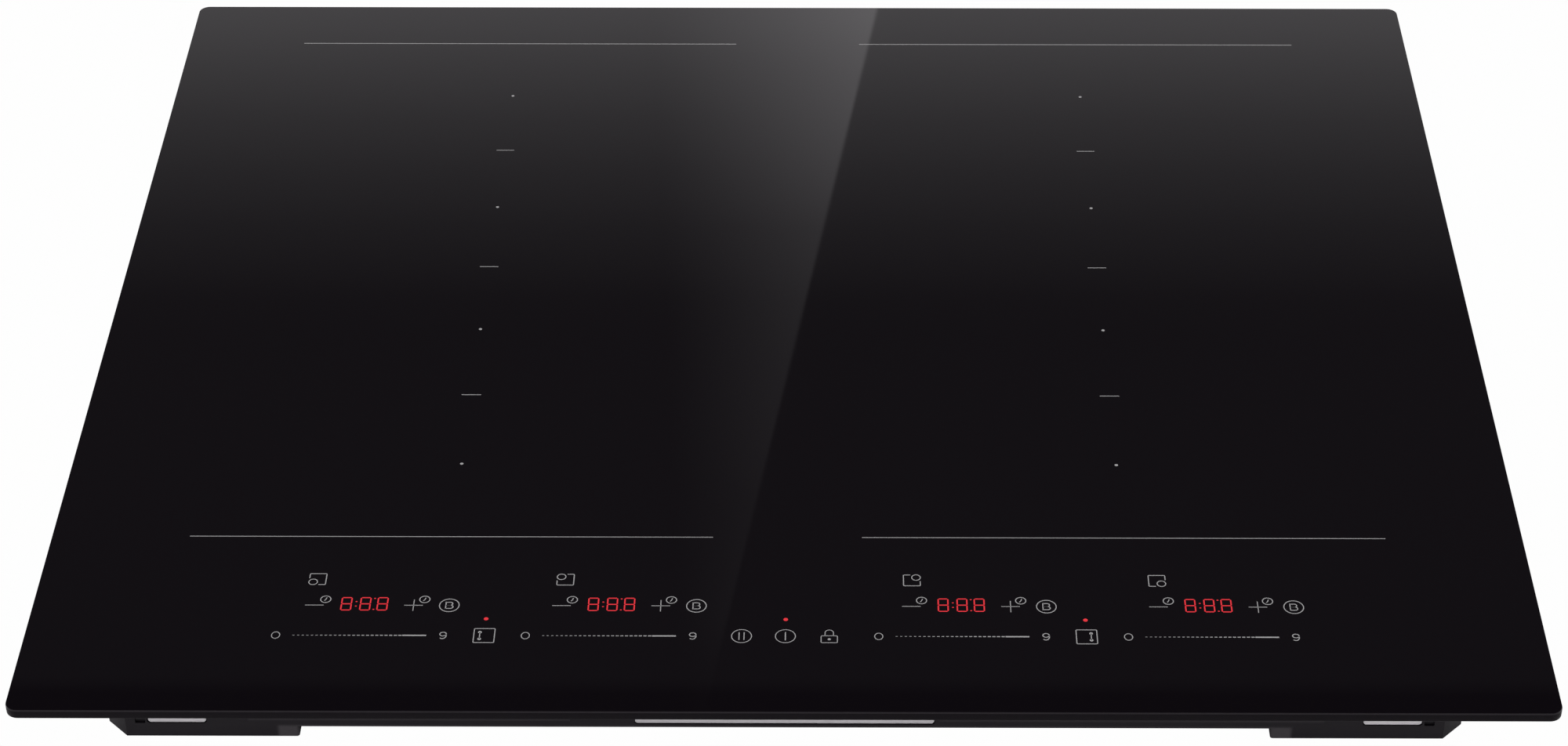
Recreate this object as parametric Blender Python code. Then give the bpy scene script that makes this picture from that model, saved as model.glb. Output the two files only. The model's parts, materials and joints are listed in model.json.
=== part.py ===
"""Built-in induction hob: a 590 x 520 mm ceramic glass plate on a stepped, moulded housing.

Frame: x to the right, y to the back, z up. The origin is below the middle of the glass, on the plane
of the housing's underside. Sizes are written in millimetres, and MM turns them into metres.
"""

import math

import bmesh
import bpy

MM = 0.001
GAP = 0.3  # clearance between neighbouring pieces
OVERLAP = 0.5  # how far a feature reaches into the body that it is joined to
THROUGH = 1.0  # how far a cutter reaches past the face that it opens
SIDES = {"left": -1, "right": 1}

# Glass
HEIGHT = 58.0
GLASS_HALF_WIDTH = 295.0
GLASS_HALF_DEPTH = 260.0
GLASS_THICKNESS = 4.0
GLASS_CORNER = 5.0
GLASS_ARRIS = 0.5
GLASS_UNDER = HEIGHT - GLASS_THICKNESS
SEAL_OUTER = (288.0, 255.0)
SEAL_INNER = (278.0, 245.0)
SEAL_THICKNESS = 3.0
CORNER_STEPS = 4

# Steel rails glued under the glass
RAIL_SHEET = 1.0
RAIL_TOP_GAP = 0.4
RAIL_SIDE_GAP = 1.0
RAIL_DROP = 9.0
RAIL_REACH = 19.0
RAIL_Y = (-188.0, 228.0)

# Housing: a deep box for the electronics, and a shallow shelf for the controls in front of it
WALL = 2.0
RIM = GLASS_UNDER - GAP
ABOVE_RIM = RIM + 6.0
DEEP_HALF_WIDTH = 272.0
DEEP_FRONT = -200.0
DEEP_BACK = 240.0
DEEP_CORNER = 8.0
SHELF_HALF_WIDTH = 263.1
SHELF_FRONT = -240.0
SHELF_UNDER = 32.2
SHELF_FLOOR = 1.5
SHELF_CHAMFER = (8.2, 8.4)
SHELF_INTO_DEEP = 10.0
BLOCK_INNER = 188.0
BLOCK_UNDER = 27.1
BLOCK_CORNER = 1.0

# Clamp notches in the four lower corners of the deep box
NOTCH_INNER = 246.0
NOTCH_LENGTH = 82.0
NOTCH_CEILING = 30.0
CLAMP_X = 262.0
CLAMP_INSET = 14.0  # from the end of the deep box to the clamp's screw
BOSS_RADIUS = 6.0
BOSS_TOP = 44.0
BOSS_BORE = 2.9
BOSS_BORE_TOP = 42.0
ARM_SHEET = 2.0
ARM_LOW = 4.6
ARM_HALF = 8.0
ARM_REACH = 54.0
ARM_TIP = 10.0
ARM_TIP_HALF = 7.0
ARM_BORE = 3.0
SCREW_RADIUS = 2.5
SCREW_TOP = 41.0
SCREW_POINT = (1.0, 1.5)  # how much the point narrows, and over what length
HEAD_RADIUS = 4.6
HEAD_CHAMFER = (1.2, 1.4)
HEAD_HEIGHTS = (1.0, 4.2)
CROSS_HALF = (3.2, 0.6)

# Openings in the housing
FRONT_SLOT_LOW = SHELF_UNDER + SHELF_FLOOR
FRONT_SLOT_HIGH = 44.0
FRONT_SLOT_CUT = 0.8
MIDDLE_SLOT_HALF = 58.1
BLOCK_SLOT = (223.2, 246.3)
BLOCK_RECESS = (247.0, 251.0)
RECESS_DEPTH = 1.3
RIBS = ((-207.0, -83.0), (60.0, 208.0))
RIB_LOW = 35.3
RIB_HIGH = 37.0
RIB_PROUD = 0.5
OUTLET_COUNT = 10
OUTLET_FIRST_X = 75.0
OUTLET_PITCH = 15.0
OUTLET_WIDTH = 7.0
OUTLET_HEIGHTS = (13.0, 37.0)
SIDE_VENT_COUNT = 7
SIDE_VENT_MIDDLE_Y = 20.0
INLET_PITCH = 9.0
INLET_WIDTH = 4.5
INLET_RADIUS = 31.0
CABLE_HOLE = (7.0, 8.0, 20.0)  # half width, low, high

# Terminal compartment in the back of the deep box, open below
CHAMBER_HALF = 45.0
CHAMBER_FRONT = 160.0
CHAMBER_TOP = 28.0
LUG_X = 37.0
LUG_Y = 200.0
LUG_HALF = 3.5
BLOCK_HALF = 30.0
BLOCK_Y = (174.0, 198.0)
BLOCK_LOW = 8.0
BLOCK_BASE = 16.0
BLOCK_RIBS = 6
BLOCK_RIB = 2.0
TERMINAL_SCREW = (3.0, 12.5)  # radius and lowest point
CORD_CLAMP_HALF = 15.0
CORD_CLAMP_Y = (216.0, 226.0)
CORD_CLAMP_LOW = 6.0
COVER_GROOVES = 3
COVER_GROOVE_HALF = (30.0, 1.0)
COVER_GROOVE_FIRST_Y = 174.0
COVER_GROOVE_PITCH = 8.0
COVER_GROOVE_DEPTH = 0.6
COVER_HOLE = 1.8

# Cooking zones
COIL_X = 135.0
COIL_Y = {"front": -60.0, "rear": 130.0}
TRAY_X = (22.0, 246.0)
TRAY_Y = (-162.0, 232.0)
TRAY_LOW = 42.6
TRAY_SHEET = 1.0
TRAY_LIP = 5.0
COIL_HOLE = 14.0
FORMER_LOW = 43.9
FORMER_DISC = (46.0, 48.4)
FORMER_RIM = 52.6
FORMER_RADII = (15.0, 20.0, 88.5, 91.0)  # bore, hub, inside of the rim, outside
FERRITE_COUNT = 6
FERRITE_REACH = (30.0, 80.0)
FERRITE_HALF = 7.0
WINDING_RADII = (26.0, 81.5)
WINDING_HEIGHTS = (48.8, 52.7)
WINDING_TURNS = 6
WINDING_STEPS = 18
WIRE_HALF = 3.9
MICA_HEIGHTS = (53.05, 53.65)
MICA_RADII = (12.0, 90.0)
SENSOR_PROFILE = (  # (radius, z) of the stem and the cap, from the stem's foot to the cap's top
    (0.0, 40.0),
    (4.0, 40.0),
    (4.0, 44.5),
    (8.0, 46.5),
    (8.0, 51.0),
    (6.5, 53.6),
    (0.0, 53.6),
)
SPRING_X = {"inner": 32.0, "outer": 236.0}
SPRING_Y = 35.0
SPRING_HEIGHTS = (30.3, 42.3)
SPRING_RADIUS = 6.0
SPRING_WIRE = 0.7
SPRING_TURNS = 3
SPRING_STEPS = 9
POST_RADIUS = 8.0
POST_TOP = 30.0
PIN_RADIUS = 4.0
PIN_TOP = 38.0

# Controls
SHIELD_HALF = 246.5
SHIELD_BACK = -166.0
SHIELD_LOW = FRONT_SLOT_LOW + GAP
SHIELD_SHEET = 1.0
SHIELD_BEHIND_WALL = 0.4
SHIELD_LIP_TOP = 46.0
CARRIER_HALF = 222.0
CARRIER_Y = (-234.0, -168.0)
CARRIER_LOW = 35.4
BOARD_HALF = 218.0
BOARD_Y = (-230.0, -172.0)
BOARD_LOW = 45.0
BOARD_SHEET = 1.6
CARRIER_RIM = 1.6
CARRIER_FLOOR = 1.5
CARRIER_BAYS = 4
WINDOW_SHARE = (0.33, 0.6)  # of a bay's pitch and of the carrier's half depth
CHIPS = (  # middle, half sizes and height of each chip on the control board
    ((0.0, -184.0), (5.0, 5.0), 1.5),
    ((-112.0, -186.0), (4.0, 4.0), 1.2),
    ((112.0, -186.0), (4.0, 4.0), 1.2),
    ((-30.0, -175.5), (8.0, 2.5), 4.0),
)
HARNESS_X = (-62.0, -50.0)
HARNESS_THICK = 0.8
HARNESS_PATH = (  # (y, z) from the control board down to the left power board
    (-170.5, 49.0),
    (-164.2, 48.0),
    (-164.2, 24.0),
    (-150.0, 19.0),
    (-96.0, 19.0),
    (-84.5, 13.0),
)
DISPLAY_X = {"left_outer": -165.0, "left_inner": -68.2, "right_inner": 68.8, "right_outer": 165.6}
DISPLAY_Y = -197.5
DISPLAY_HALF = (12.0, 6.5)
DISPLAY_CORNER = 1.0
DISPLAY_BEVEL = 0.6

# Electronics
POWER_X = (50.0, 226.0)
POWER_Y = (-82.0, 172.0)
POWER_LOW = 8.0
POWER_SHEET = 1.6
POWER_PARTS = (  # x and y extents and height of each part on a right-hand power board
    ((56.0, 70.0), (-70.0, -58.0), 8.0),
    ((56.0, 96.0), (20.0, 60.0), 18.0),
    ((58.0, 90.0), (-20.0, -6.0), 15.0),
    ((180.0, 186.0), (-66.0, -20.0), 20.0),
    ((180.0, 186.0), (70.0, 130.0), 20.0),
)
CAPACITOR_X = (191.0, 222.0)
CAPACITOR_CORNER = 2.5
BUS_CAPACITOR = ((-15.0, 17.0), 34.0)  # y extent and top
RESONANT_CAPACITOR = ((24.0, 62.0), 31.0)
CHOKE = (78.0, 110.0)
CHOKE_RADII = (13.5, 6.5)  # of the ring and of its section
STANDOFF_RADIUS = 3.5
STANDOFF_INSET = 8.0
SINK_X = (105.0, 175.0)
SINK_Y = (-74.0, 150.0)
SINK_BASE = 4.0
SINK_TOP = 37.0
SINK_FINS = 8
SINK_FIN = 1.8
BLOWER = (140.0, -140.0)
SCROLL_RADII = (36.0, 47.0)
SCROLL_START = 60.0
SCROLL_WALL = 1.6
SCROLL_STEPS = 20
DUCT_INNER = 18.0
DUCT_END = 50.0
BLOWER_LOW = WALL + GAP
BLOWER_HIGH = 30.0
BLOWER_PLATE = 1.8
MOTOR_RADIUS = 13.0
MOTOR_GAP = 1.5
SHAFT_RADIUS = 1.5
SHAFT_LOW = 8.0
IMPELLER_BORE = 2.0
IMPELLER_RADIUS = 32.0
IMPELLER_HEIGHTS = (5.0, 22.5)
IMPELLER_PLATE = 1.2
HUB_RADIUS = 4.5
HUB_SHORTER = 4.0
BLADE_SHORTER = 1.0
RING_INNER = 28.5
RING_OUTER = 31.4
BLADE_COUNT = 12
BLADE_REACH = (25.5, 31.0)
BLADE_SWEEP = 16.0
BLADE_THICKNESS = 1.0


def rounded_outline(low, high, radii, steps=CORNER_STEPS):
    """Rectangle from low to high, anticlockwise from its low corner, with one radius for each corner."""
    corners = ((low[0], low[1]), (high[0], low[1]), (high[0], high[1]), (low[0], high[1]))
    inward = ((1, 1), (-1, 1), (-1, -1), (1, -1))
    outline = []
    for index, ((x, y), (right, back), radius) in enumerate(zip(corners, inward, radii)):
        if radius == 0:
            outline.append((x, y))
            continue
        centre = (x + right * radius, y + back * radius)
        start = math.pi + index * math.pi / 2
        for step in range(steps + 1):
            angle = start + step * math.pi / 2 / steps
            outline.append((centre[0] + radius * math.cos(angle), centre[1] + radius * math.sin(angle)))
    return outline


def centred_outline(half_x, half_y, radius):
    return rounded_outline((-half_x, -half_y), (half_x, half_y), [radius] * 4)


def loft(loops):
    """Closed skin through loops of equally many points, with a flat cap on the first and the last."""
    mesh = bmesh.new()
    rings = [[mesh.verts.new([value * MM for value in point]) for point in loop] for loop in loops]
    for lower, upper in zip(rings, rings[1:]):
        for here in range(len(lower)):
            after = (here + 1) % len(lower)
            mesh.faces.new((lower[here], lower[after], upper[after], upper[here]))
    mesh.faces.new(rings[0])
    mesh.faces.new(rings[-1])
    bmesh.ops.recalc_face_normals(mesh, faces=mesh.faces)
    return mesh


def prism(outline, low, high, along="z"):
    """Outline extruded from low to high. It lies in (x, y), or for along y in (x, z), for x in (y, z)."""
    place = {
        "z": lambda u, v, w: (u, v, w),
        "y": lambda u, v, w: (u, w, v),
        "x": lambda u, v, w: (w, u, v),
    }[along]
    return loft([[place(u, v, w) for u, v in outline] for w in (low, high)])


def box(x, y, z):
    """Box from three (low, high) pairs."""
    return prism(rounded_outline((x[0], y[0]), (x[1], y[1]), [0] * 4), z[0], z[1])


def span(middle, half):
    return (middle - half, middle + half)


def flipped(side, low, high):
    """The (low, high) pair on the right-hand side, or its mirror image on the left."""
    return (low, high) if side > 0 else (-high, -low)


def turned(profile, segments, middle=(0.0, 0.0)):
    """Closed profile of (radius, z) points, turned about the vertical line through middle."""
    mesh = bmesh.new()
    rings = []
    for radius, height in profile:
        ring = []
        for step in range(segments if radius > 0 else 1):
            angle = 2 * math.pi * step / segments
            x = middle[0] + radius * math.cos(angle)
            y = middle[1] + radius * math.sin(angle)
            ring.append(mesh.verts.new((x * MM, y * MM, height * MM)))
        rings.append(ring)
    for before, here in zip(rings[-1:] + rings[:-1], rings):
        if len(before) == 1 and len(here) == 1:
            continue
        for step in range(segments):
            corners = [ring[(step + shift) % len(ring)] for ring, shift in
                       ((before, 0), (before, 1), (here, 1), (here, 0))]
            mesh.faces.new(dict.fromkeys(corners))
    bmesh.ops.recalc_face_normals(mesh, faces=mesh.faces)
    return mesh


def disc(radius, low, high, segments, middle=(0.0, 0.0)):
    return turned([(0, low), (radius, low), (radius, high), (0, high)], segments, middle)


def together(meshes):
    """One bmesh that holds several separate ones."""
    result = bmesh.new()
    for mesh in meshes:
        holder = bpy.data.meshes.new("holder")
        mesh.to_mesh(holder)
        result.from_mesh(holder)
        bpy.data.meshes.remove(holder)
        mesh.free()
    return result


def add_object(name, mesh):
    data = bpy.data.meshes.new(name)
    mesh.to_mesh(data)
    mesh.free()
    thing = bpy.data.objects.new(name, data)
    bpy.context.scene.collection.objects.link(thing)
    return thing


def change(thing, tool_mesh, operation):
    """Join tool_mesh to an object (UNION), or cut it away (DIFFERENCE)."""
    tool = add_object("tool", tool_mesh)
    modifier = thing.modifiers.new("change", "BOOLEAN")
    modifier.operation = operation
    modifier.solver = "EXACT"
    modifier.object = tool
    changed = bpy.data.meshes.new_from_object(thing.evaluated_get(bpy.context.evaluated_depsgraph_get()))
    thing.modifiers.clear()
    before = thing.data
    thing.data = changed
    bpy.data.meshes.remove(before)
    bpy.data.objects.remove(tool)


def join(thing, *tools):
    for tool in tools:
        change(thing, tool, "UNION")


def cut(thing, *tools):
    for tool in tools:
        change(thing, tool, "DIFFERENCE")


def finish(thing, material, smooth_under=30.0):
    """Give an object its material, and shade its round stretches smooth."""
    thing.data.name = thing.name
    thing.data.materials.clear()
    thing.data.materials.append(material)
    thing.data.shade_smooth()
    thing.data.set_sharp_from_angle(angle=math.radians(smooth_under))
    return thing


def copy_of(thing, name, place):
    """Another object that shares thing's mesh. Place is in millimetres."""
    copy = bpy.data.objects.new(name, thing.data)
    bpy.context.scene.collection.objects.link(copy)
    put(copy, place)
    return copy


def put(thing, place):
    thing.location = [value * MM for value in place]


def surface(name, colour, roughness, metallic=0.0):
    material = bpy.data.materials.new(name)
    material.use_nodes = True
    shader = material.node_tree.nodes["Principled BSDF"]
    shader.inputs["Base Color"].default_value = (*colour, 1.0)
    shader.inputs["Roughness"].default_value = roughness
    shader.inputs["Metallic"].default_value = metallic
    material.diffuse_color = (*colour, 1.0)
    return material


def make_glass():
    """Glass plate with rounded corners and a small arris round both faces."""
    loops = []
    for height, inset in (
        (GLASS_UNDER, GLASS_ARRIS),
        (GLASS_UNDER + GLASS_ARRIS, 0.0),
        (HEIGHT - GLASS_ARRIS, 0.0),
        (HEIGHT, GLASS_ARRIS),
    ):
        outline = centred_outline(GLASS_HALF_WIDTH - inset, GLASS_HALF_DEPTH - inset, GLASS_CORNER - inset)
        loops.append([(x, y, height) for x, y in outline])
    glass = add_object("glass_top", loft(loops))
    finish(glass, surface("black ceramic glass", (0.008, 0.008, 0.009), 0.04))


def make_seal():
    """Foam strip stuck round the edge of the glass's underside."""
    low = GLASS_UNDER - GAP - SEAL_THICKNESS
    high = GLASS_UNDER - GAP
    seal = add_object("foam_seal", prism(centred_outline(*SEAL_OUTER, GLASS_CORNER), low, high))
    cut(seal, prism(centred_outline(*SEAL_INNER, GLASS_CORNER), low - THROUGH, high + THROUGH))
    finish(seal, surface("foam", (0.03, 0.03, 0.03), 0.95))


def make_rails():
    """Folded steel rails, glued under the glass inside the housing's side walls."""
    steel = surface("zinc-plated steel", (0.55, 0.56, 0.58), 0.38, 1.0)
    high = GLASS_UNDER - RAIL_TOP_GAP
    wall_x = DEEP_HALF_WIDTH - WALL - RAIL_SIDE_GAP
    for word, side in SIDES.items():
        profile = [
            (side * (wall_x - RAIL_SHEET), high - RAIL_DROP),
            (side * wall_x, high - RAIL_DROP),
            (side * wall_x, high),
            (side * (wall_x - RAIL_REACH), high),
            (side * (wall_x - RAIL_REACH), high - RAIL_SHEET),
            (side * (wall_x - RAIL_SHEET), high - RAIL_SHEET),
        ]
        finish(add_object(f"rail_{word}", prism(profile, *RAIL_Y, along="y")), steel)


def shelf_outline(inset):
    """Plan of the control shelf, whose front corners are cut off."""
    half = SHELF_HALF_WIDTH - inset
    front = SHELF_FRONT + inset
    back = DEEP_FRONT + SHELF_INTO_DEEP
    cut_x, cut_y = SHELF_CHAMFER
    return [
        (-half + cut_x, front),
        (half - cut_x, front),
        (half, front + cut_y),
        (half, back),
        (-half, back),
        (-half, front + cut_y),
    ]


def block_outline(side):
    """Plan of a corner block: round at its inner front corner, cut off at the outer one."""
    cut_x, cut_y = SHELF_CHAMFER
    arc = rounded_outline(
        (BLOCK_INNER, SHELF_FRONT), (SHELF_HALF_WIDTH, DEEP_FRONT + OVERLAP), (BLOCK_CORNER, 0, 0, 0)
    )
    outline = arc[: CORNER_STEPS + 1]
    outline += [(SHELF_HALF_WIDTH - cut_x, SHELF_FRONT), (SHELF_HALF_WIDTH, SHELF_FRONT + cut_y)]
    outline += arc[-2:]
    return [(side * x, y) for x, y in outline]


def notch_spans(grow=0.0):
    """The y extents of the front and rear clamp notches, each open at its end of the deep box."""
    return (
        (DEEP_FRONT - THROUGH, DEEP_FRONT + NOTCH_LENGTH + grow),
        (DEEP_BACK - NOTCH_LENGTH - grow, DEEP_BACK + THROUGH),
    )


def notches(low, ceiling, inner, grow=0.0):
    """The four clamp notches as one cutter."""
    pieces = []
    for side in SIDES.values():
        for y in notch_spans(grow):
            pieces.append(box(flipped(side, inner, DEEP_HALF_WIDTH + THROUGH), y, (low, ceiling)))
    return together(pieces)


def clamp_places():
    """Name, side, end and screw centre of each clamp: end is -1 at the front and 1 at the back."""
    for end_word, end, edge in (("front", -1, DEEP_FRONT), ("rear", 1, DEEP_BACK)):
        for side_word, side in SIDES.items():
            yield f"{end_word}_{side_word}", side, end, (side * CLAMP_X, edge - end * CLAMP_INSET)


def power_corners(side):
    """Centres of a power board's four standoffs."""
    for x in (POWER_X[0] + STANDOFF_INSET, POWER_X[1] - STANDOFF_INSET):
        for y in (POWER_Y[0] + STANDOFF_INSET, POWER_Y[1] - STANDOFF_INSET):
            yield side * x, y


def housing_shell():
    """The housing's outer form and the hollow inside it."""
    shell = add_object(
        "bottom_housing",
        prism(
            rounded_outline(
                (-DEEP_HALF_WIDTH, DEEP_FRONT), (DEEP_HALF_WIDTH, DEEP_BACK), [DEEP_CORNER] * 4
            ),
            0.0,
            RIM,
        ),
    )
    join(shell, prism(shelf_outline(0.0), SHELF_UNDER, RIM))
    for side in SIDES.values():
        join(shell, prism(block_outline(side), BLOCK_UNDER, SHELF_UNDER + OVERLAP))
    cut(shell, notches(-THROUGH, NOTCH_CEILING, NOTCH_INNER))

    hollow = add_object(
        "hollow",
        prism(
            rounded_outline(
                (-DEEP_HALF_WIDTH + WALL, DEEP_FRONT + WALL),
                (DEEP_HALF_WIDTH - WALL, DEEP_BACK - WALL),
                [DEEP_CORNER - WALL] * 4,
            ),
            WALL,
            ABOVE_RIM,
        ),
    )
    join(hollow, prism(shelf_outline(WALL), SHELF_UNDER + SHELF_FLOOR, ABOVE_RIM))
    for side in SIDES.values():
        x = flipped(side, BLOCK_INNER + WALL, SHELF_HALF_WIDTH - SHELF_CHAMFER[0] - WALL)
        y = (SHELF_FRONT + SHELF_CHAMFER[1], DEEP_FRONT - WALL)
        join(hollow, box(x, y, (BLOCK_UNDER + SHELF_FLOOR, SHELF_UNDER + SHELF_FLOOR + OVERLAP)))
    cut(hollow, notches(0.0, NOTCH_CEILING + WALL, NOTCH_INNER - WALL, WALL))
    inside = bmesh.new()
    inside.from_mesh(hollow.data)
    bpy.data.objects.remove(hollow)
    cut(shell, inside)
    return shell


def slot_outline(low_x, high_x, corner, inset=0.0):
    """Outline in (x, z) of an opening in the front wall, whose lower corners are cut off."""
    low_x, high_x = low_x + inset, high_x - inset
    low, high = FRONT_SLOT_LOW + inset, FRONT_SLOT_HIGH - inset
    return [
        (low_x + corner, low),
        (high_x - corner, low),
        (high_x, low + corner),
        (high_x, high),
        (low_x, high),
        (low_x, low + corner),
    ]


def shielded_slots():
    """The x extents of the wide middle slot and of the slot in each corner block."""
    yield (-MIDDLE_SLOT_HALF, MIDDLE_SLOT_HALF)
    for side in SIDES.values():
        yield flipped(side, *BLOCK_SLOT)


def front_slots():
    """The slots that show the shield's pads, and the narrow blind recess beside each outer one."""
    through = (SHELF_FRONT - THROUGH, SHELF_FRONT + WALL + THROUGH)
    blind = (SHELF_FRONT - THROUGH, SHELF_FRONT + RECESS_DEPTH)
    pieces = [prism(slot_outline(*x, FRONT_SLOT_CUT), *through, along="y") for x in shielded_slots()]
    for side in SIDES.values():
        recess = slot_outline(*flipped(side, *BLOCK_RECESS), GAP)
        pieces.append(prism(recess, *blind, along="y"))
    return together(pieces)


def vents():
    """Outlets in the back wall and the side walls, and the inlet grilles below the blowers."""
    pieces = []
    for side in SIDES.values():
        for index in range(OUTLET_COUNT):
            x = side * (OUTLET_FIRST_X + index * OUTLET_PITCH)
            y = (DEEP_BACK - WALL - THROUGH, DEEP_BACK + THROUGH)
            pieces.append(box(span(x, OUTLET_WIDTH / 2), y, OUTLET_HEIGHTS))
        for index in range(SIDE_VENT_COUNT):
            y = SIDE_VENT_MIDDLE_Y + (index - (SIDE_VENT_COUNT - 1) / 2) * OUTLET_PITCH
            x = flipped(side, DEEP_HALF_WIDTH - WALL - THROUGH, DEEP_HALF_WIDTH + THROUGH)
            pieces.append(box(x, span(y, OUTLET_WIDTH / 2), OUTLET_HEIGHTS))
        for index in range(-3, 4):
            offset = index * INLET_PITCH
            half = math.sqrt(INLET_RADIUS**2 - offset**2)
            x = span(side * BLOWER[0] + offset, INLET_WIDTH / 2)
            pieces.append(box(x, span(BLOWER[1], half), (-THROUGH, WALL + THROUGH)))
    return together(pieces)


def make_housing():
    """Moulded housing with its slots, vents, clamp bosses, posts and terminal compartment."""
    housing = housing_shell()

    posts = []
    for _, _, _, middle in clamp_places():
        posts.append(disc(BOSS_RADIUS, NOTCH_CEILING + OVERLAP, BOSS_TOP, 12, middle))
    for side in SIDES.values():
        for x, y in power_corners(side):
            posts.append(disc(STANDOFF_RADIUS, OVERLAP, POWER_LOW - GAP, 8, (x, y)))
        for x in SPRING_X.values():
            post = [
                (0, OVERLAP),
                (POST_RADIUS, OVERLAP),
                (POST_RADIUS, POST_TOP),
                (PIN_RADIUS, POST_TOP),
                (PIN_RADIUS, PIN_TOP),
                (0, PIN_TOP),
            ]
            posts.append(turned(post, 12, (side * x, SPRING_Y)))
    join(housing, together(posts))

    chamber_y = (CHAMBER_FRONT, DEEP_BACK - OVERLAP)
    join(housing, box(span(0, CHAMBER_HALF), chamber_y, (OVERLAP, CHAMBER_TOP)))
    inner = span(0, CHAMBER_HALF - WALL)
    inner_y = (CHAMBER_FRONT + WALL, DEEP_BACK - WALL)
    cut(housing, box(inner, inner_y, (-THROUGH, CHAMBER_TOP - WALL)))
    lugs = []
    for side in SIDES.values():
        lug_z = (WALL + GAP, CHAMBER_TOP - OVERLAP)
        lugs.append(box(span(side * LUG_X, LUG_HALF), span(LUG_Y, LUG_HALF), lug_z))
    join(housing, together(lugs))

    rib_y = (SHELF_FRONT - RIB_PROUD, SHELF_FRONT + OVERLAP)
    join(housing, together([box(x, rib_y, (RIB_LOW, RIB_HIGH)) for x in RIBS]))

    bores = [
        disc(BOSS_BORE, NOTCH_CEILING - THROUGH, BOSS_BORE_TOP, 12, middle)
        for _, _, _, middle in clamp_places()
    ]
    half, low, high = CABLE_HOLE
    cable_hole = box(span(0, half), (DEEP_BACK - WALL - THROUGH, DEEP_BACK + THROUGH), (low, high))
    cut(housing, together(bores + [cable_hole]), front_slots(), vents())
    finish(housing, surface("black moulded plastic", (0.012, 0.012, 0.013), 0.42))


def arm_object(name, direction):
    """Clamp arm that reaches along y from its screw, with a round end and a bent-up tip."""
    steps = 2 * CORNER_STEPS  # the arc turns through half a circle
    end = [math.pi * (1 + step / steps) for step in range(steps + 1)]
    plan = [(ARM_HALF * math.cos(angle), ARM_HALF * math.sin(angle)) for angle in end]
    plan += [(ARM_HALF, ARM_REACH), (-ARM_HALF, ARM_REACH)]
    plan = [(x, direction * y) for x, y in plan]
    top = ARM_LOW + ARM_SHEET
    arm = add_object(name, prism(plan, ARM_LOW, top))
    tip_y = sorted((direction * (ARM_REACH - ARM_SHEET), direction * ARM_REACH))
    join(arm, box(span(0, ARM_TIP_HALF), tip_y, (top - OVERLAP, top + ARM_TIP)))
    cut(arm, disc(ARM_BORE, ARM_LOW - THROUGH, top + THROUGH, 12))
    return arm


def screw_object(name):
    """Clamp screw with a chamfered head, a cross recess in it and a blunt point."""
    low, high = HEAD_HEIGHTS
    narrow, length = SCREW_POINT
    chamfer, rise = HEAD_CHAMFER
    profile = [
        (0, low),
        (HEAD_RADIUS - chamfer, low),
        (HEAD_RADIUS, low + rise),
        (HEAD_RADIUS, high),
        (SCREW_RADIUS, high),
        (SCREW_RADIUS, SCREW_TOP - length),
        (SCREW_RADIUS - narrow, SCREW_TOP),
        (0, SCREW_TOP),
    ]
    screw = add_object(name, turned(profile, 12))
    long, short = CROSS_HALF
    for half_x, half_y in ((long, short), (short, long)):
        cut(screw, box(span(0, half_x), span(0, half_y), (low - THROUGH, low + rise)))
    return screw


def make_clamps():
    """Four swing clamps: each arm hangs on a long screw, and its bent-up tip grips the worktop."""
    steel = surface("clamp steel", (0.5, 0.51, 0.53), 0.35, 1.0)
    first_screw = None
    for place, _, end, middle in clamp_places():
        put(finish(arm_object(f"clamp_arm_{place}", -end), steel), (*middle, 0.0))
        if first_screw is None:
            first_screw = finish(screw_object(f"clamp_screw_{place}"), steel)
            put(first_screw, (*middle, 0.0))
        else:
            copy_of(first_screw, f"clamp_screw_{place}", (*middle, 0.0))


def make_shield():
    """Aluminium sheet under the controls. Its folded-up lip has pads that stand in the front slots."""
    front = SHELF_FRONT + WALL + SHIELD_BEHIND_WALL
    high = SHIELD_LOW + SHIELD_SHEET
    profile = [
        (front, SHIELD_LOW),
        (SHIELD_BACK, SHIELD_LOW),
        (SHIELD_BACK, high),
        (front + SHIELD_SHEET, high),
        (front + SHIELD_SHEET, SHIELD_LIP_TOP),
        (front, SHIELD_LIP_TOP),
    ]
    shield = add_object("control_shield", prism(profile, -SHIELD_HALF, SHIELD_HALF, along="x"))
    pad_y = (SHELF_FRONT + GAP, front + OVERLAP)
    pads = [slot_outline(*x, FRONT_SLOT_CUT, GAP) for x in shielded_slots()]
    join(shield, together([prism(outline, *pad_y, along="y") for outline in pads]))
    finish(shield, surface("aluminium sheet", (0.78, 0.78, 0.79), 0.36, 1.0))


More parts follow.
